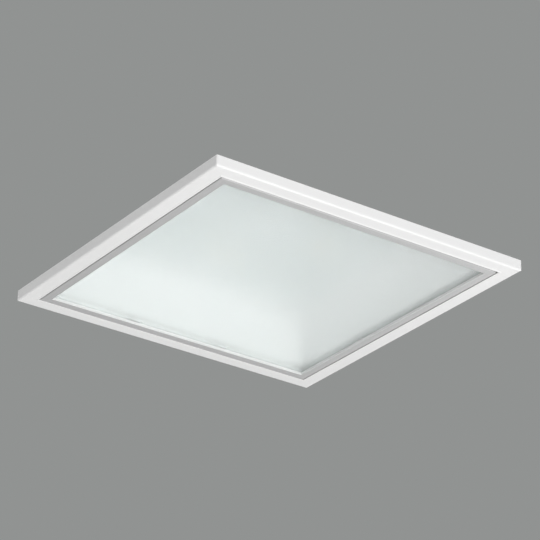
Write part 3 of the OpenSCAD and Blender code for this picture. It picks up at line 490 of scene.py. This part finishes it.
# housing: white coat over folded sheet, with the dimples of its spot welds along the top's edge
housingLook = dict(color=(0.8, 0.805, 0.8), roughness=0.4, spread=0.15, drift=0.03, driftScale=14.0,
                   grainScale=650.0, bump=0.12, depth=0.00004, dust=0.22, patternBump=0.5,
                   patternDepth=0.0004, weldInset=125.6, weldPitch=31.4, weldRadius=2.6, weldFlat=0.55,
                   lining=(0.862, 0.872, 0.869), liningAndShadeReach=((131.7, 131.7, 56.5), (137.7, 131.7, 4.3)),
                   edges=dict(width=0.42, shortest=40))


def weldHeight(tree, place):
    look = housingLook
    axis = splitPlace(tree, place)
    total = None
    for along, off in (("X", "Y"), ("Y", "X")):
        part = calc(tree, "PINGPONG", axis[along], look["weldPitch"] * mm / 2)
        away = calc(tree, "SUBTRACT", calc(tree, "ABSOLUTE", axis[off]), look["weldInset"] * mm)
        far = calc(tree, "SQRT", calc(tree, "ADD", times(tree, part, part), times(tree, away, away)))
        dimple = steps(tree, far, look["weldRadius"] * look["weldFlat"] * mm, look["weldRadius"] * mm)
        total = dimple if total is None else calc(tree, "MINIMUM", total, dimple)
    return total


# a brighter white coat inside the sheet, in its chamber; along its step only the two ±X sides get it, as
# painted light, and the ±Y sides keep the outer white as painted shade; a row of liningAndShadeReach is how
# far it reaches in X, in Y and up
def liningAndStepShade(tree, place, color):
    axis = splitPlace(tree, place)
    offX, offY = offMiddle(tree, axis)
    for reachX, reachY, top in housingLook["liningAndShadeReach"]:
        insideX = calc(tree, "LESS_THAN", offX, reachX * mm)
        insideY = calc(tree, "LESS_THAN", offY, reachY * mm)
        below = calc(tree, "LESS_THAN", axis["Z"], top * mm)
        brightInside = times(tree, times(tree, insideX, insideY), below)
        color = blendColor(tree, brightInside, color, housingLook["lining"])
    return color


housingCoat = finish("housingPaint", housingLook, addColor=liningAndStepShade, addHeight=weldHeight)
roundedPiece("housingShell", "housing", "housing", "white_paint", housingCoat, **housingLook["edges"])
print("bezel and housing done")

# door frame: satin anodised aluminium, brushed along each of its four sides, with painted shade at its outer
# edge
doorLook = dict(color=(0.615, 0.615, 0.619), metallic=0.6, roughness=0.5, lineScale=2600.0, lineStretch=0.02,
                lineTone=0.12, lineSpread=0.2, drift=0.03, driftScale=16.0, bump=0.2, depth=0.00003,
                edgeShadeStart=135.2, edgeShadeFull=135.9, edgeShadeAmount=0.42, mitre=(136.0, -136.0, 0.0), mitreShadeOuter=2.0,
                mitreShadeInner=1.2, mitreShadeColor=(0.05, 0.05, 0.05))


def doorFinish(look):
    material, tree, shader = newMaterial("doorAluminium", look)
    place = objectPlace(tree)
    onSide = calc(tree, "GREATER_THAN", *offMiddle(tree, splitPlace(tree, place)))
    lines = [useGroup(tree, brushLines, Place=place, Along=along, Scale=look["lineScale"])["Lines"]
             for along in ((look["lineStretch"], 1.0, 1.0), (1.0, look["lineStretch"], 1.0))]
    line = blendNumber(tree, onSide, *lines)
    tone = greyOf(tree, spreadAbout(tree, line, look["lineTone"], 1.0))
    brushed = blendColor(tree, 1.0, look["color"], tone, "MULTIPLY")
    color = useGroup(tree, colorDrift, Place=place, Color=brushed, Amount=look["drift"],
                     Scale=look["driftScale"])["Color"]
    # painted shade: the frame's outer edge is darkened where it meets the gap
    edgeShaded = useGroup(tree, gapShade, Place=place, Color=color, From=look["edgeShadeStart"] * mm,
                     To=look["edgeShadeFull"] * mm, Amount=look["edgeShadeAmount"])["Color"]
    # painted shade: a near-black spot at one mitre stands in for the shadow in a small opening there
    flat = vectorCalc(tree, "MULTIPLY", place, (1.0, 1.0, 0.0))["Vector"]
    away = vectorCalc(tree, "DISTANCE", flat, tuple(v * mm for v in look["mitre"]))["Value"]
    spot = steps(tree, away, look["mitreShadeOuter"] * mm, look["mitreShadeInner"] * mm)
    wire(tree, shader.inputs["Base Color"], blendColor(tree, spot, edgeShaded, look["mitreShadeColor"]))
    rough = spreadAbout(tree, line, look["lineSpread"], look["roughness"])
    wire(tree, shader.inputs["Roughness"], rough)
    bump(tree, shader, line, look["bump"], look["depth"])
    return material


dress(doorFinish(doorLook), "door_frame")

# glass: etched, so that only soft shapes show through, and greener at the cut edges
glassLook = dict(tint=(0.955, 0.976, 0.976), edgeTint=(0.5, 0.8, 0.7), edgeRange=(0.7, 0.3), roughness=0.25,
                 spread=0.05, cloudScale=420.0, bump=0.06, depth=0.00002, ior=1.5, clear=0.85,
                 passing=(0.99, 1.0, 0.995), edges=dict(width=0.5, segments=3))


def glassFinish(look):
    fixed = {"Transmission Weight": look["clear"], "IOR": look["ior"]}
    material, tree, shader = newMaterial("frostedGlass", dict(shader=fixed))
    place = objectPlace(tree)
    edge = steps(tree, calc(tree, "ABSOLUTE", facingUp(tree)), *look["edgeRange"])
    cloudy = useGroup(tree, fineGrain, Place=place, Scale=look["cloudScale"], Roughness=look["roughness"],
                      Spread=look["spread"])
    wire(tree, shader.inputs["Base Color"], blendColor(tree, edge, look["tint"], look["edgeTint"]))
    wire(tree, shader.inputs["Roughness"], cloudy["Roughness"])
    bump(tree, shader, cloudy["Height"], look["bump"], look["depth"])
    # lamps light what lies behind the glass
    clear = addNode(tree, "ShaderNodeBsdfTransparent", {"Color": look["passing"]}).outputs[0]
    path = addNode(tree, "ShaderNodeLightPath").outputs
    mixSurface(tree, path["Is Shadow Ray"], shader.outputs[0], clear)
    return material


roundedPiece("glassPane", "glass_panel", "door", "frosted_glass", glassFinish(glassLook),
             **glassLook["edges"])

# seal under the glass: a square ring whose thin lip hides the cut edge of the door's opening
sealLook = dict(color=(0.7, 0.705, 0.7), roughness=0.55, drift=0.02, grainScale=1400.0, bump=0.06, dust=0.05,
                lip=128.25, door=128.6, ring=128.8, outer=132.2, bottom=-9.72, ledge=-7.75, rim=-7.5,
                top=-6.95, chamfer=0.15, underside=0.1)


def glassSeal(look):
    lip, door, ring, outer = (look[k] for k in ("lip", "door", "ring", "outer"))
    bottom, rim, cut = look["bottom"], look["rim"], look["chamfer"]
    profile = ((door, bottom), (lip + look["underside"], bottom), (lip, bottom + cut), (lip, rim - cut),
               (lip + cut, rim), (ring, rim), (ring, look["top"]), (outer, look["top"]),
               (outer, look["ledge"]), (door, look["ledge"]))
    bm = bmesh.new()
    start = [bm.verts.new((d * mm, -d * mm, z * mm)) for d, z in profile]
    edges = [bm.edges.new(pair) for pair in zip(start, start[1:] + start[:1])]
    # four steps of a spin make the square
    bmesh.ops.spin(bm, geom=start + edges, cent=(0, 0, 0), axis=(0, 0, 1), angle=2 * pi, steps=4,
                   use_merge=True)
    closeSpin(bm)
    return bm


finishPiece("glassSeal", glassSeal(sealLook), "door", [finish("siliconeSeal", sealLook)],
            ["glass_gasket"])

# foam between bezel and ceiling
foamLook = dict(color=(0.035, 0.035, 0.038), roughness=0.92, drift=0.2, driftScale=90.0, bump=0.2, dust=0.3,
                patternBump=0.9, patternDepth=0.0003, cells=1300.0, cellRange=(0.1, 0.6))


def foamHeight(tree, place):
    cells = addNode(tree, "ShaderNodeTexVoronoi", {"Vector": place, "Scale": foamLook["cells"]})
    return steps(tree, cells.outputs["Distance"], *foamLook["cellRange"])


dress(finish("foamStrip", foamLook, addHeight=foamHeight), "ceiling_gasket")
print("door and glass done")


# metals: zinc plate in soft spangles, drawn spring steel, ground stainless pins, brass nuts
zincLook = dict(color=(0.6, 0.62, 0.64), metallic=1.0, roughness=0.33, spread=0.18, drift=0.08,
                driftScale=60.0, grainScale=1500.0, bump=0.1, dust=0.25, spangleScale=260.0,
                spangle=(0.55, 0.6, 0.66), spangleAmount=0.5, stain=(0.68, 0.64, 0.52), stainScale=120.0,
                stainRange=(0.52, 0.75), stainAmount=0.35)


def spangles(tree, place, color):
    look = zincLook
    inputs = {"Vector": place, "Scale": look["spangleScale"], "Randomness": 1.0}
    cells = addNode(tree, "ShaderNodeTexVoronoi", inputs)
    spread = splitPlace(tree, cells.outputs["Color"])["X"]
    cool = blendColor(tree, times(tree, spread, look["spangleAmount"]), color, look["spangle"])
    stained = steps(tree, noise(tree, place, look["stainScale"]), *look["stainRange"],
                    (0.0, look["stainAmount"]))
    return blendColor(tree, stained, cool, look["stain"])


drawnLines = dict(along=(1.0, 0.05, 1.0), scale=5000.0)


def drawnHeight(tree, place):
    return useGroup(tree, brushLines, Place=place, Along=drawnLines["along"],
                    Scale=drawnLines["scale"])["Lines"]


zincPlate = finish("zincPlate", zincLook, addColor=spangles)
springLook = dict(color=(0.3, 0.31, 0.33), metallic=1.0, roughness=0.32, spread=0.15, drift=0.12,
                  driftScale=80.0, grainScale=2500.0, bump=0.12, dust=0.15, patternBump=0.12,
                  patternDepth=0.00003)
springSteel = finish("springSteel", springLook, addHeight=drawnHeight)
pinLook = dict(color=(0.56, 0.56, 0.57), metallic=1.0, roughness=0.24, spread=0.1, drift=0.05,
               grainScale=3000.0, bump=0.06, dust=0.1, patternBump=0.08, patternDepth=0.00002)
stainless = finish("stainless", pinLook, addHeight=drawnHeight)
brassLook = dict(color=(0.7, 0.5, 0.2), metallic=1.0, roughness=0.3, spread=0.2, drift=0.15, driftScale=140.0,
                 grainScale=2000.0, bump=0.1, dust=0.15)
brassNut = finish("brassNut", brassLook)
dress(zincPlate, "bezel_screws", "door_screws", "hinge_pin_screws", "catch_rivets", "board_screws",
      "driver_screws", "wiring_box_screws", "earth_stud", "earth_lug", "bracket_rivets")
dress(stainless, "hinge_pins", "catch_blades", "lid_pin", "lever_pin", "clip_pins")
paintedLook = dict(color=(0.84, 0.845, 0.84), roughness=0.38, spread=0.1, drift=0.03, grainScale=900.0,
                   bump=0.1, dust=0.0)
dress(finish("paintedClip", paintedLook), "glass_clips")
dress(springSteel, "catch_clips")
dress(brassNut, "earth_nuts")
roundedPiece("clipBrackets", "clip_brackets", "housing", "zinc_steel", zincPlate, width=0.3, shortest=1.1)

# ceiling springs: one wire on each side of the pin, with tail, coil and arm in one; the two meet in the
# sleeve at the tip
clipWire = dict(radius=0.9, coil=2.48, legs=7.1, outer=13.3, reach=52.0, bend=3.0, slope=12.0, turns=3,
                tail=7.5, coilSteps=26, bendSteps=9, tailSteps=4)
clipCorners = [(side, end) for side in ("left", "right") for end in ("front", "back")]


def clipFrame(side, end):
    joint = next(j for j in frame["joints"] if j["name"] == f"clip_{side}_{end}")
    return Vector(joint["pos_m"]) / mm, -1 if side == "left" else 1


# the coil from its leg outwards, as seen in the arm's own frame: X along the arm, Y along the pin
def coilPoints(look, hand):
    whole = 2 * pi * look["turns"] + pi / 2 - radians(look["slope"])
    amount = int(look["coilSteps"] * whole / (2 * pi))
    points = []
    for i in range(amount + 1):
        t = i / amount
        out = look["legs"] + (look["outer"] - look["legs"]) * t
        points.append(Vector((look["coil"] * sin(-whole * t), hand * out, -look["coil"] * cos(-whole * t))))
    return points


def springPoints(look, hand, place, sign):
    middle = Vector((look["reach"] - look["bend"], hand * (look["legs"] - look["bend"]), -look["coil"]))
    angles = [radians(90 * k / look["bendSteps"]) for k in range(look["bendSteps"] + 1)]
    tip = [middle + Vector((sin(a), hand * cos(a), 0)) * look["bend"] for a in angles]
    tip.append(Vector((look["reach"], 0, -look["coil"])))
    turned = Matrix.Rotation(radians(look["slope"]), 3, "Y")
    wound = [turned @ p for p in coilPoints(look, hand)[::-1] + tip]
    tail = [wound[0] + Vector((0, 0, look["tail"] * k / look["tailSteps"]))
            for k in range(look["tailSteps"], 0, -1)]
    return [Vector((place.x + sign * p.x, place.y + p.y, place.z + p.z)) for p in tail + wound]


for side, end in clipCorners:
    place, sign = clipFrame(side, end)
    for which, hand in (("near", -1), ("far", 1)):
        name = f"springWire_{side}_{end}_{which}"
        wirePath = springPoints(clipWire, hand, place, sign)
        spring = curveToMesh(wireCurve(name, wirePath, clipWire["radius"]))
        # the wire stays where it was built, with its transform baked, and is not put on the arm's body; the
        # coil's ends go in as windUp, which finishPiece takes only as a flag
        coilEnds = (clipWire["outer"] - clipWire["radius"], clipWire["legs"] + clipWire["radius"])
        ends = [(place + Vector((0, hand * y, 0))) * mm for y in coilEnds]
        finishPiece(name, spring, f"arm_{side}_{end}", [springSteel],
                    [f"clip_arm_{side}_{end}"], windUp=ends)
sleeveLook = dict(color=(0.8, 0.79, 0.75), roughness=0.55, spread=0.15, drift=0.05, grainScale=1200.0,
                  bump=0.2, dust=0.2)
dress(finish("tipSleeve", sleeveLook), *[f"clip_sleeve_{side}_{end}" for side, end in clipCorners])
print("ceiling springs done")

# lamp boards: white solder mask over copper bands that join the chips
boardLook = dict(color=(0.62, 0.675, 0.68), roughness=0.38, spread=0.1, drift=0.02, grainScale=1100.0,
                 bump=0.05, dust=0.0, patternBump=0.35, patternDepth=0.00006, pitch=24.0, rowReach=0.07,
                 linkReach=0.02, band=(0.56, 0.6, 0.57), bandAmount=0.5)


def boardBands(tree, place):
    axis = splitPlace(tree, place)
    masks = []
    for along, reach in (("Y", boardLook["rowReach"]), ("X", boardLook["linkReach"])):
        bands = useGroup(tree, repeatedBands, Along=axis[along], Pitch=boardLook["pitch"] * mm, Reach=reach)
        masks.append(bands["Mask"])
    return calc(tree, "MAXIMUM", *masks)


def boardColor(tree, place, color):
    shown = times(tree, boardBands(tree, place), boardLook["bandAmount"])
    return blendColor(tree, shown, color, boardLook["band"])


dress(finish("solderMask", boardLook, addColor=boardColor, addHeight=boardBands), "led_boards")

# lamp chips: a moulded body with a yellow phosphor window on the lit side
chipLook = dict(color=(0.85, 0.85, 0.82), roughness=0.35, grainScale=3000.0, bump=0.05, dust=0.0, count=4,
                pitch=24.0, width=3.5, height=0.7, edge=0.12, window=0.35, sink=0.1, boardAt=60.0, top=54.4)
chipBody = finish("chipBody", chipLook)
phosphorLook = dict(color=(0.86, 0.64, 0.12), roughness=0.22, spread=0.08, drift=0.12, driftScale=700.0,
                    grainScale=5000.0, bump=0.12, dust=0.0,
                    shader={"Coat Weight": 0.5, "Coat Roughness": 0.1})
phosphor = finish("chipPhosphor", phosphorLook)


def moveChip(bm, parts, spot, top):
    verts = [v for v in parts if isinstance(v, bmesh.types.BMVert)]
    bmesh.ops.translate(bm, vec=(spot[0] * mm, spot[1] * mm, top * mm), verts=verts)


def lampChips(look):
    bm = bmesh.new()
    half = look["width"] / 2
    addBox(bm, (-half, -half, -look["height"]), (half, half, 0), look["edge"], segments=1)
    lit = min(bm.faces, key=lambda f: (f.calc_center_median().z, -f.calc_area()))
    bmesh.ops.inset_region(bm, faces=[lit], thickness=look["window"] * mm)
    bmesh.ops.translate(bm, vec=(0, 0, look["sink"] * mm), verts=lit.verts)
    lit.material_index = 1
    first = bm.verts[:] + bm.edges[:] + bm.faces[:]
    span = (look["count"] - 1) * look["pitch"] / 2
    rows = [i * look["pitch"] - span for i in range(look["count"])]
    boards = [(bx * look["boardAt"], by * look["boardAt"]) for bx in (-1, 1) for by in (-1, 1)]
    spots = [(bx + x, by + y) for bx, by in boards for x in rows for y in rows]
    for spot in spots[1:]:
        moveChip(bm, bmesh.ops.duplicate(bm, geom=first)["geom"], spot, look["top"])
    moveChip(bm, first, spots[0], look["top"])
    return bm


finishPiece("lampChips", lampChips(chipLook), "housing", [chipBody, phosphor], ["led_chips"])

# plastics: the moulded pieces keep their CAD shape or get a rounded copy of it
connectorLook = dict(color=(0.82, 0.79, 0.68), roughness=0.42, drift=0.04, grainScale=1500.0, bump=0.12,
                     dust=0.0)
roundedPiece("boardConnectors", "board_connectors", "housing", "ivory_plastic",
             finish("connectorPlastic", connectorLook), width=0.35)
caseLook = dict(color=(0.74, 0.74, 0.71), roughness=0.48, spread=0.14, drift=0.03, driftScale=20.0,
                grainScale=1700.0, bump=0.3, depth=0.00005, dust=0.25)
casePlastic = finish("casePlastic", caseLook)
boxLook = dict(caseLook, color=(0.56, 0.575, 0.58), grainScale=1300.0, roughness=0.52)
boxPlastic = finish("boxPlastic", boxLook)
caseEdges = dict(width=0.5, shortest=3.5)
cases = (("driverCase", "driver_case", "housing", casePlastic, False),
         ("driverCover", "driver_cover", "housing", casePlastic, True),
         ("wiringBox", "wiring_box", "housing", boxPlastic, False),
         ("wiringLid", "wiring_box_lid", "wiring_lid", boxPlastic, False))
for piece, node, body, material, boxOnly in cases:
    roundedPiece(piece, node, body, "case_plastic", material, boxOnly=boxOnly, **caseEdges)
rubberLook = dict(color=(0.022, 0.022, 0.024), roughness=0.72, spread=0.15, drift=0.2, driftScale=90.0,
                  grainScale=1200.0, bump=0.25, dust=0.4)
dress(finish("blackRubber", rubberLook), "wire_grommet", "gland_seal")
blockLook = dict(color=(0.6, 0.62, 0.62), roughness=0.45, drift=0.03, grainScale=1500.0, bump=0.15, dust=0.1)
roundedPiece("terminalBlock", "terminal_block", "housing", "block_plastic", finish("blockPlastic", blockLook),
             width=0.4, shortest=2.5)
leverLook = dict(color=(0.8, 0.2, 0.035), roughness=0.32, spread=0.1, drift=0.05, grainScale=1500.0,
                 bump=0.08, dust=0.05)
leverPlastic = finish("leverPlastic", leverLook)
for pole in ("line", "neutral", "earth"):
    roundedPiece(f"lever_{pole}", f"terminal_lever_{pole}", f"lever_{pole}", "lever_plastic", leverPlastic,
                 width=0.3, shortest=1.5)
darkLook = dict(color=(0.03, 0.032, 0.034), roughness=0.4, spread=0.1, drift=0.1, grainScale=1500.0,
                bump=0.12, dust=0.2)
dress(finish("darkPlastic", darkLook), "driver_terminals")
greenLook = dict(color=(0.03, 0.16, 0.06), roughness=0.3, drift=0.12, driftScale=200.0, grainScale=2500.0,
                 bump=0.06, dust=0.0, shader={"Coat Weight": 0.3, "Coat Roughness": 0.2})
dress(finish("circuitGreen", greenLook), "driver_board")
partsLook = dict(color=(0.55, 0.36, 0.08), roughness=0.35, drift=0.3, driftScale=80.0, grainScale=1200.0,
                 bump=0.2, dust=0.0)
dress(finish("componentMix", partsLook), "driver_parts")
print("boards and boxes done")

# cable gland: a domed cap with a fluted grip, on the hexagon of its body
glandLook = dict(color=(0.3, 0.31, 0.32), roughness=0.46, spread=0.14, drift=0.05, driftScale=60.0,
                 grainScale=1300.0, bump=0.2, dust=0.3)
glandPlastic = finish("glandPlastic", glandLook)
capShape = dict(start=0.0, end=13.0, outer=9.6, bore=4.9, mouth=8.02, depth=9.0, edge=0.4, collar=1.6,
                shoulder=0.6, step=0.5, dome=2.6, domeSteps=6, lip=1.0, lipFlat=0.8, lipEdge=0.3, flutes=12,
                perFlute=4, groove=0.91, gripStart=1.0, gripSkin=0.2)


def glandCap(look, place):
    low, high, outer, bore = (look[k] for k in ("start", "end", "outer", "bore"))
    domeFoot, domeRim, domeTop = high - look["dome"], outer - look["step"], bore + look["lip"]
    profile = [(low, look["mouth"]), (low, outer - look["edge"]), (low + look["edge"], outer),
               (low + look["collar"], outer), (domeFoot - look["shoulder"], outer), (domeFoot, domeRim)]
    for k in range(1, look["domeSteps"]):
        turn = radians(90) * k / look["domeSteps"]
        profile.append((domeFoot + look["dome"] * sin(turn), domeTop + (domeRim - domeTop) * cos(turn)))
    profile += [(high, bore + look["lipFlat"]), (high - look["lipEdge"], bore), (look["depth"], bore),
                (look["depth"], look["mouth"]), (low, look["mouth"])]
    bm = bmesh.new()
    count = look["flutes"] * look["perFlute"]
    addTurned(bm, profile, place, (1, 0, 0), count)
    for v in bm.verts:
        arm = Vector((0, v.co.y - place[1] * mm, v.co.z - place[2] * mm))
        along = v.co.x / mm - place[0]
        number = round(arm.angle(Vector((0, 1, 0))) / (2 * pi / count))
        onGrip = arm.length > (outer - look["gripSkin"]) * mm and look["gripStart"] < along < domeFoot
        if onGrip and number % look["perFlute"] < look["perFlute"] / 2:
            v.co -= arm.normalized() * look["groove"] * mm
    return bm


capLow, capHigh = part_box("gland_cap")
capPlace = (capLow.x / mm, (capLow.y + capHigh.y) / 2 / mm, (capLow.z + capHigh.z) / 2 / mm)
finishPiece("glandCap", glandCap(capShape, capPlace), "housing", [glandPlastic],
            ["gland_cap"])
for node, piece in (("gland_body", "glandBody"), ("gland_locknut", "glandNut")):
    roundedPiece(piece, node, "housing", "gland_plastic", glandPlastic, width=0.35, shortest=2.5)

# leads: insulated wires that keep their CAD route; the two mains leads get the slight waves of hand fitting
sheathLook = dict(roughness=0.34, spread=0.1, drift=0.05, driftScale=120.0, grainScale=2000.0, bump=0.1,
                  dust=0.2)


def insulation(name, **look):
    return finish(name, dict(sheathLook, **look))


# a wave is its place in Y, then its share in X and in Z; lastWave counts its place from the corner
mainsLook = dict(radius=1.1, height=64.52, wave=0.5, startY=40.0, straightY=30.0,
                 waves=((12.0, 1.0, 0.6), (-14.0, -1.0, 0.0)), lastWave=(16.0, 0.5, 0.4), bend=5.0,
                 bendCut=1.2, entry=3.0, endX=45.0)
# a lead is its piece, sheath and colour, where it turns in X and Y, which way it waves, and its CAD node
mainsLeads = (("lineLead", "brownInsulation", (0.16, 0.06, 0.025), 59.0, -56.0, 1, ["mains_leads"]),
              ("neutralLead", "blueInsulation", (0.02, 0.1, 0.5), 67.0, -64.0, -1, []))


def mainsRoute(look, x, y, sway):
    z, wave = look["height"], look["wave"] * sway
    fromCorner, lastX, lastZ = look["lastWave"]
    start = [(x, look["startY"], z), (x, look["straightY"], z)]
    waves = [(x + wave * shareX, along, z + wave * shareZ)
             for along, shareX, shareZ in (*look["waves"], (y + fromCorner, lastX, lastZ))]
    bend, cut = look["bend"], look["bendCut"]
    corner = [(x, y + bend, z), (x - cut, y + cut, z), (x - bend, y, z)]
    end = [(look["endX"] + look["entry"], y, z), (look["endX"], y, z)]
    return smoothPath(start + waves + corner + end)


for piece, sheath, color, x, y, sway, replaced in mainsLeads:
    leadWire = wireCurve(piece, mainsRoute(mainsLook, x, y, sway), mainsLook["radius"])
    finishPiece(piece, leadWire, "housing", [insulation(sheath, color=color)], replaced)


def middleOf(node):
    low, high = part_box(node)
    return (low + high) / 2


# the earth lead is green on one side and yellow on the other
earthLook = dict(color=(0.06, 0.34, 0.07), stripe=(0.78, 0.72, 0.06), roughness=0.34, grainScale=2000.0,
                 bump=0.1, dust=0.15)


def earthStripe(tree, place, color):
    away = calc(tree, "SUBTRACT", splitPlace(tree, place)["X"], middleOf("earth_lead").x)
    return blendColor(tree, calc(tree, "GREATER_THAN", away, 0.0), color, earthLook["stripe"])


dress(finish("earthInsulation", earthLook, addColor=earthStripe), "earth_lead")

# the two lamp leads are one node: the one on the -Y side is black, the other red
lampLook = dict(color=(0.02, 0.02, 0.022), other=(0.5, 0.03, 0.02), roughness=0.36, grainScale=2000.0,
                bump=0.1, dust=0.2)


def lampLeadColor(tree, place, color):
    onOther = calc(tree, "GREATER_THAN", splitPlace(tree, place)["Y"], middleOf("led_leads").y)
    return blendColor(tree, onOther, color, lampLook["other"])


dress(finish("lampLeads", lampLook, addColor=lampLeadColor), "led_leads")
dress(insulation("linkInsulation", color=(0.78, 0.78, 0.76), dust=0.0), "board_links")
print("gland and leads done")


# stage: a grey ceiling that only the view from below sees, and a pale floor that only the view from above
# sees
stageLook = dict(ceiling=(0.283, 0.292, 0.288), hole=140.0, ceilingReach=6000.0, floor=(0.8, 0.8, 0.79),
                 floorLevel=-1500.0, floorReach=9000.0, floorRoughness=0.8, floorDrift=0.02,
                 floorDriftScale=1.5, backdrop=(0.78, 0.785, 0.79))


def stagePiece(name, bm, material):
    mesh = bpy.data.meshes.new(name)
    bm.to_mesh(mesh)
    bm.free()
    mesh.materials.append(material)
    piece = bpy.data.objects.new(name, mesh)
    scene.collection.objects.link(piece)


def facingAway(tree):
    return addNode(tree, "ShaderNodeNewGeometry").outputs["Backfacing"]


def seeThrough(tree):
    return addNode(tree, "ShaderNodeBsdfTransparent").outputs[0]


def ceilingFinish(look):
    material, tree, shader = newMaterial("ceilingGrey", {})
    tree.nodes.remove(shader)
    path = addNode(tree, "ShaderNodeLightPath").outputs
    grey = addNode(tree, "ShaderNodeEmission", {"Color": look["ceiling"], "Strength": 1.0}).outputs[0]
    seen = times(tree, path["Is Camera Ray"], calc(tree, "SUBTRACT", 1.0, facingAway(tree)))
    mixSurface(tree, seen, seeThrough(tree), grey)
    return material


def floorFinish(look):
    material, tree, shader = newMaterial("paleFloor", {})
    drift = useGroup(tree, colorDrift, Place=objectPlace(tree), Color=look["floor"],
                     Amount=look["floorDrift"], Scale=look["floorDriftScale"])["Color"]
    wire(tree, shader.inputs["Base Color"], drift)
    shader.inputs["Roughness"].default_value = look["floorRoughness"]
    mixSurface(tree, facingAway(tree), shader.outputs[0], seeThrough(tree))
    return material


# a square sheet with a square hole, facing down
def ceilingSheet(look):
    bm = bmesh.new()
    bmesh.ops.create_grid(bm, x_segments=1, y_segments=1, size=look["ceilingReach"] * mm)
    bmesh.ops.inset_region(bm, faces=bm.faces[:], thickness=(look["ceilingReach"] - look["hole"]) * mm,
                           use_boundary=True, use_even_offset=True)
    inner = min(bm.faces, key=lambda f: f.calc_area())
    bmesh.ops.delete(bm, geom=[inner], context="FACES_ONLY")
    bmesh.ops.reverse_faces(bm, faces=bm.faces)
    return bm


def floorSheet(look):
    bm = bmesh.new()
    bmesh.ops.create_grid(bm, x_segments=1, y_segments=1, size=look["floorReach"] * mm)
    bmesh.ops.translate(bm, vec=(0, 0, look["floorLevel"] * mm), verts=bm.verts)
    return bm


stagePiece("ceilingSheet", ceilingSheet(stageLook), ceilingFinish(stageLook))
stagePiece("paleFloor", floorSheet(stageLook), floorFinish(stageLook))

# light: an even room, a soft key from the near side and below, weak lamps round it, one for the upper side;
# a row is the lamp's name, place, width in metres and power in watts
lightLook = dict(room=(0.445, 0.445, 0.445), lamps=(
    ("keyLamp", (0.0, -1.42, -1.2), 1.3, 30.0),
    ("nearLamp", (-0.6, -1.6, -0.8), 1.2, 2.0),
    ("sideLamp", (-1.6, 0.2, -0.7), 1.2, 3.8),
    ("rimLamp", (1.6, 0.7, -0.9), 1.2, 5.0),
    ("topLamp", (1.1, 0.6, 1.7), 1.2, 14.0)))


def softLamp(name, place, size, power):
    lamp = bpy.data.objects.new(name, bpy.data.lights.new(name, "AREA"))
    lamp.data.shape = "SQUARE"
    lamp.data.size = size
    lamp.data.energy = power
    lamp.location = place
    lamp.rotation_euler = (-Vector(place)).to_track_quat("-Z", "Y").to_euler()
    lamp.visible_camera = False
    scene.collection.objects.link(lamp)


# the room lights the object evenly, and the camera, gloss and glass see the backdrop's colour instead
def evenRoom(room, backdrop):
    world = bpy.data.worlds.new("evenRoom")
    scene.world = world
    world.use_nodes = True
    tree = world.node_tree
    path = addNode(tree, "ShaderNodeLightPath").outputs
    direct = calc(tree, "MAXIMUM", path["Is Glossy Ray"], path["Is Transmission Ray"])
    direct = calc(tree, "MAXIMUM", path["Is Camera Ray"], direct)
    wire(tree, tree.nodes["Background"].inputs["Color"], blendColor(tree, direct, room, backdrop))


for lamp in lightLook["lamps"]:
    softLamp(*lamp)
evenRoom(lightLook["room"], stageLook["backdrop"])
print("stage and light done")
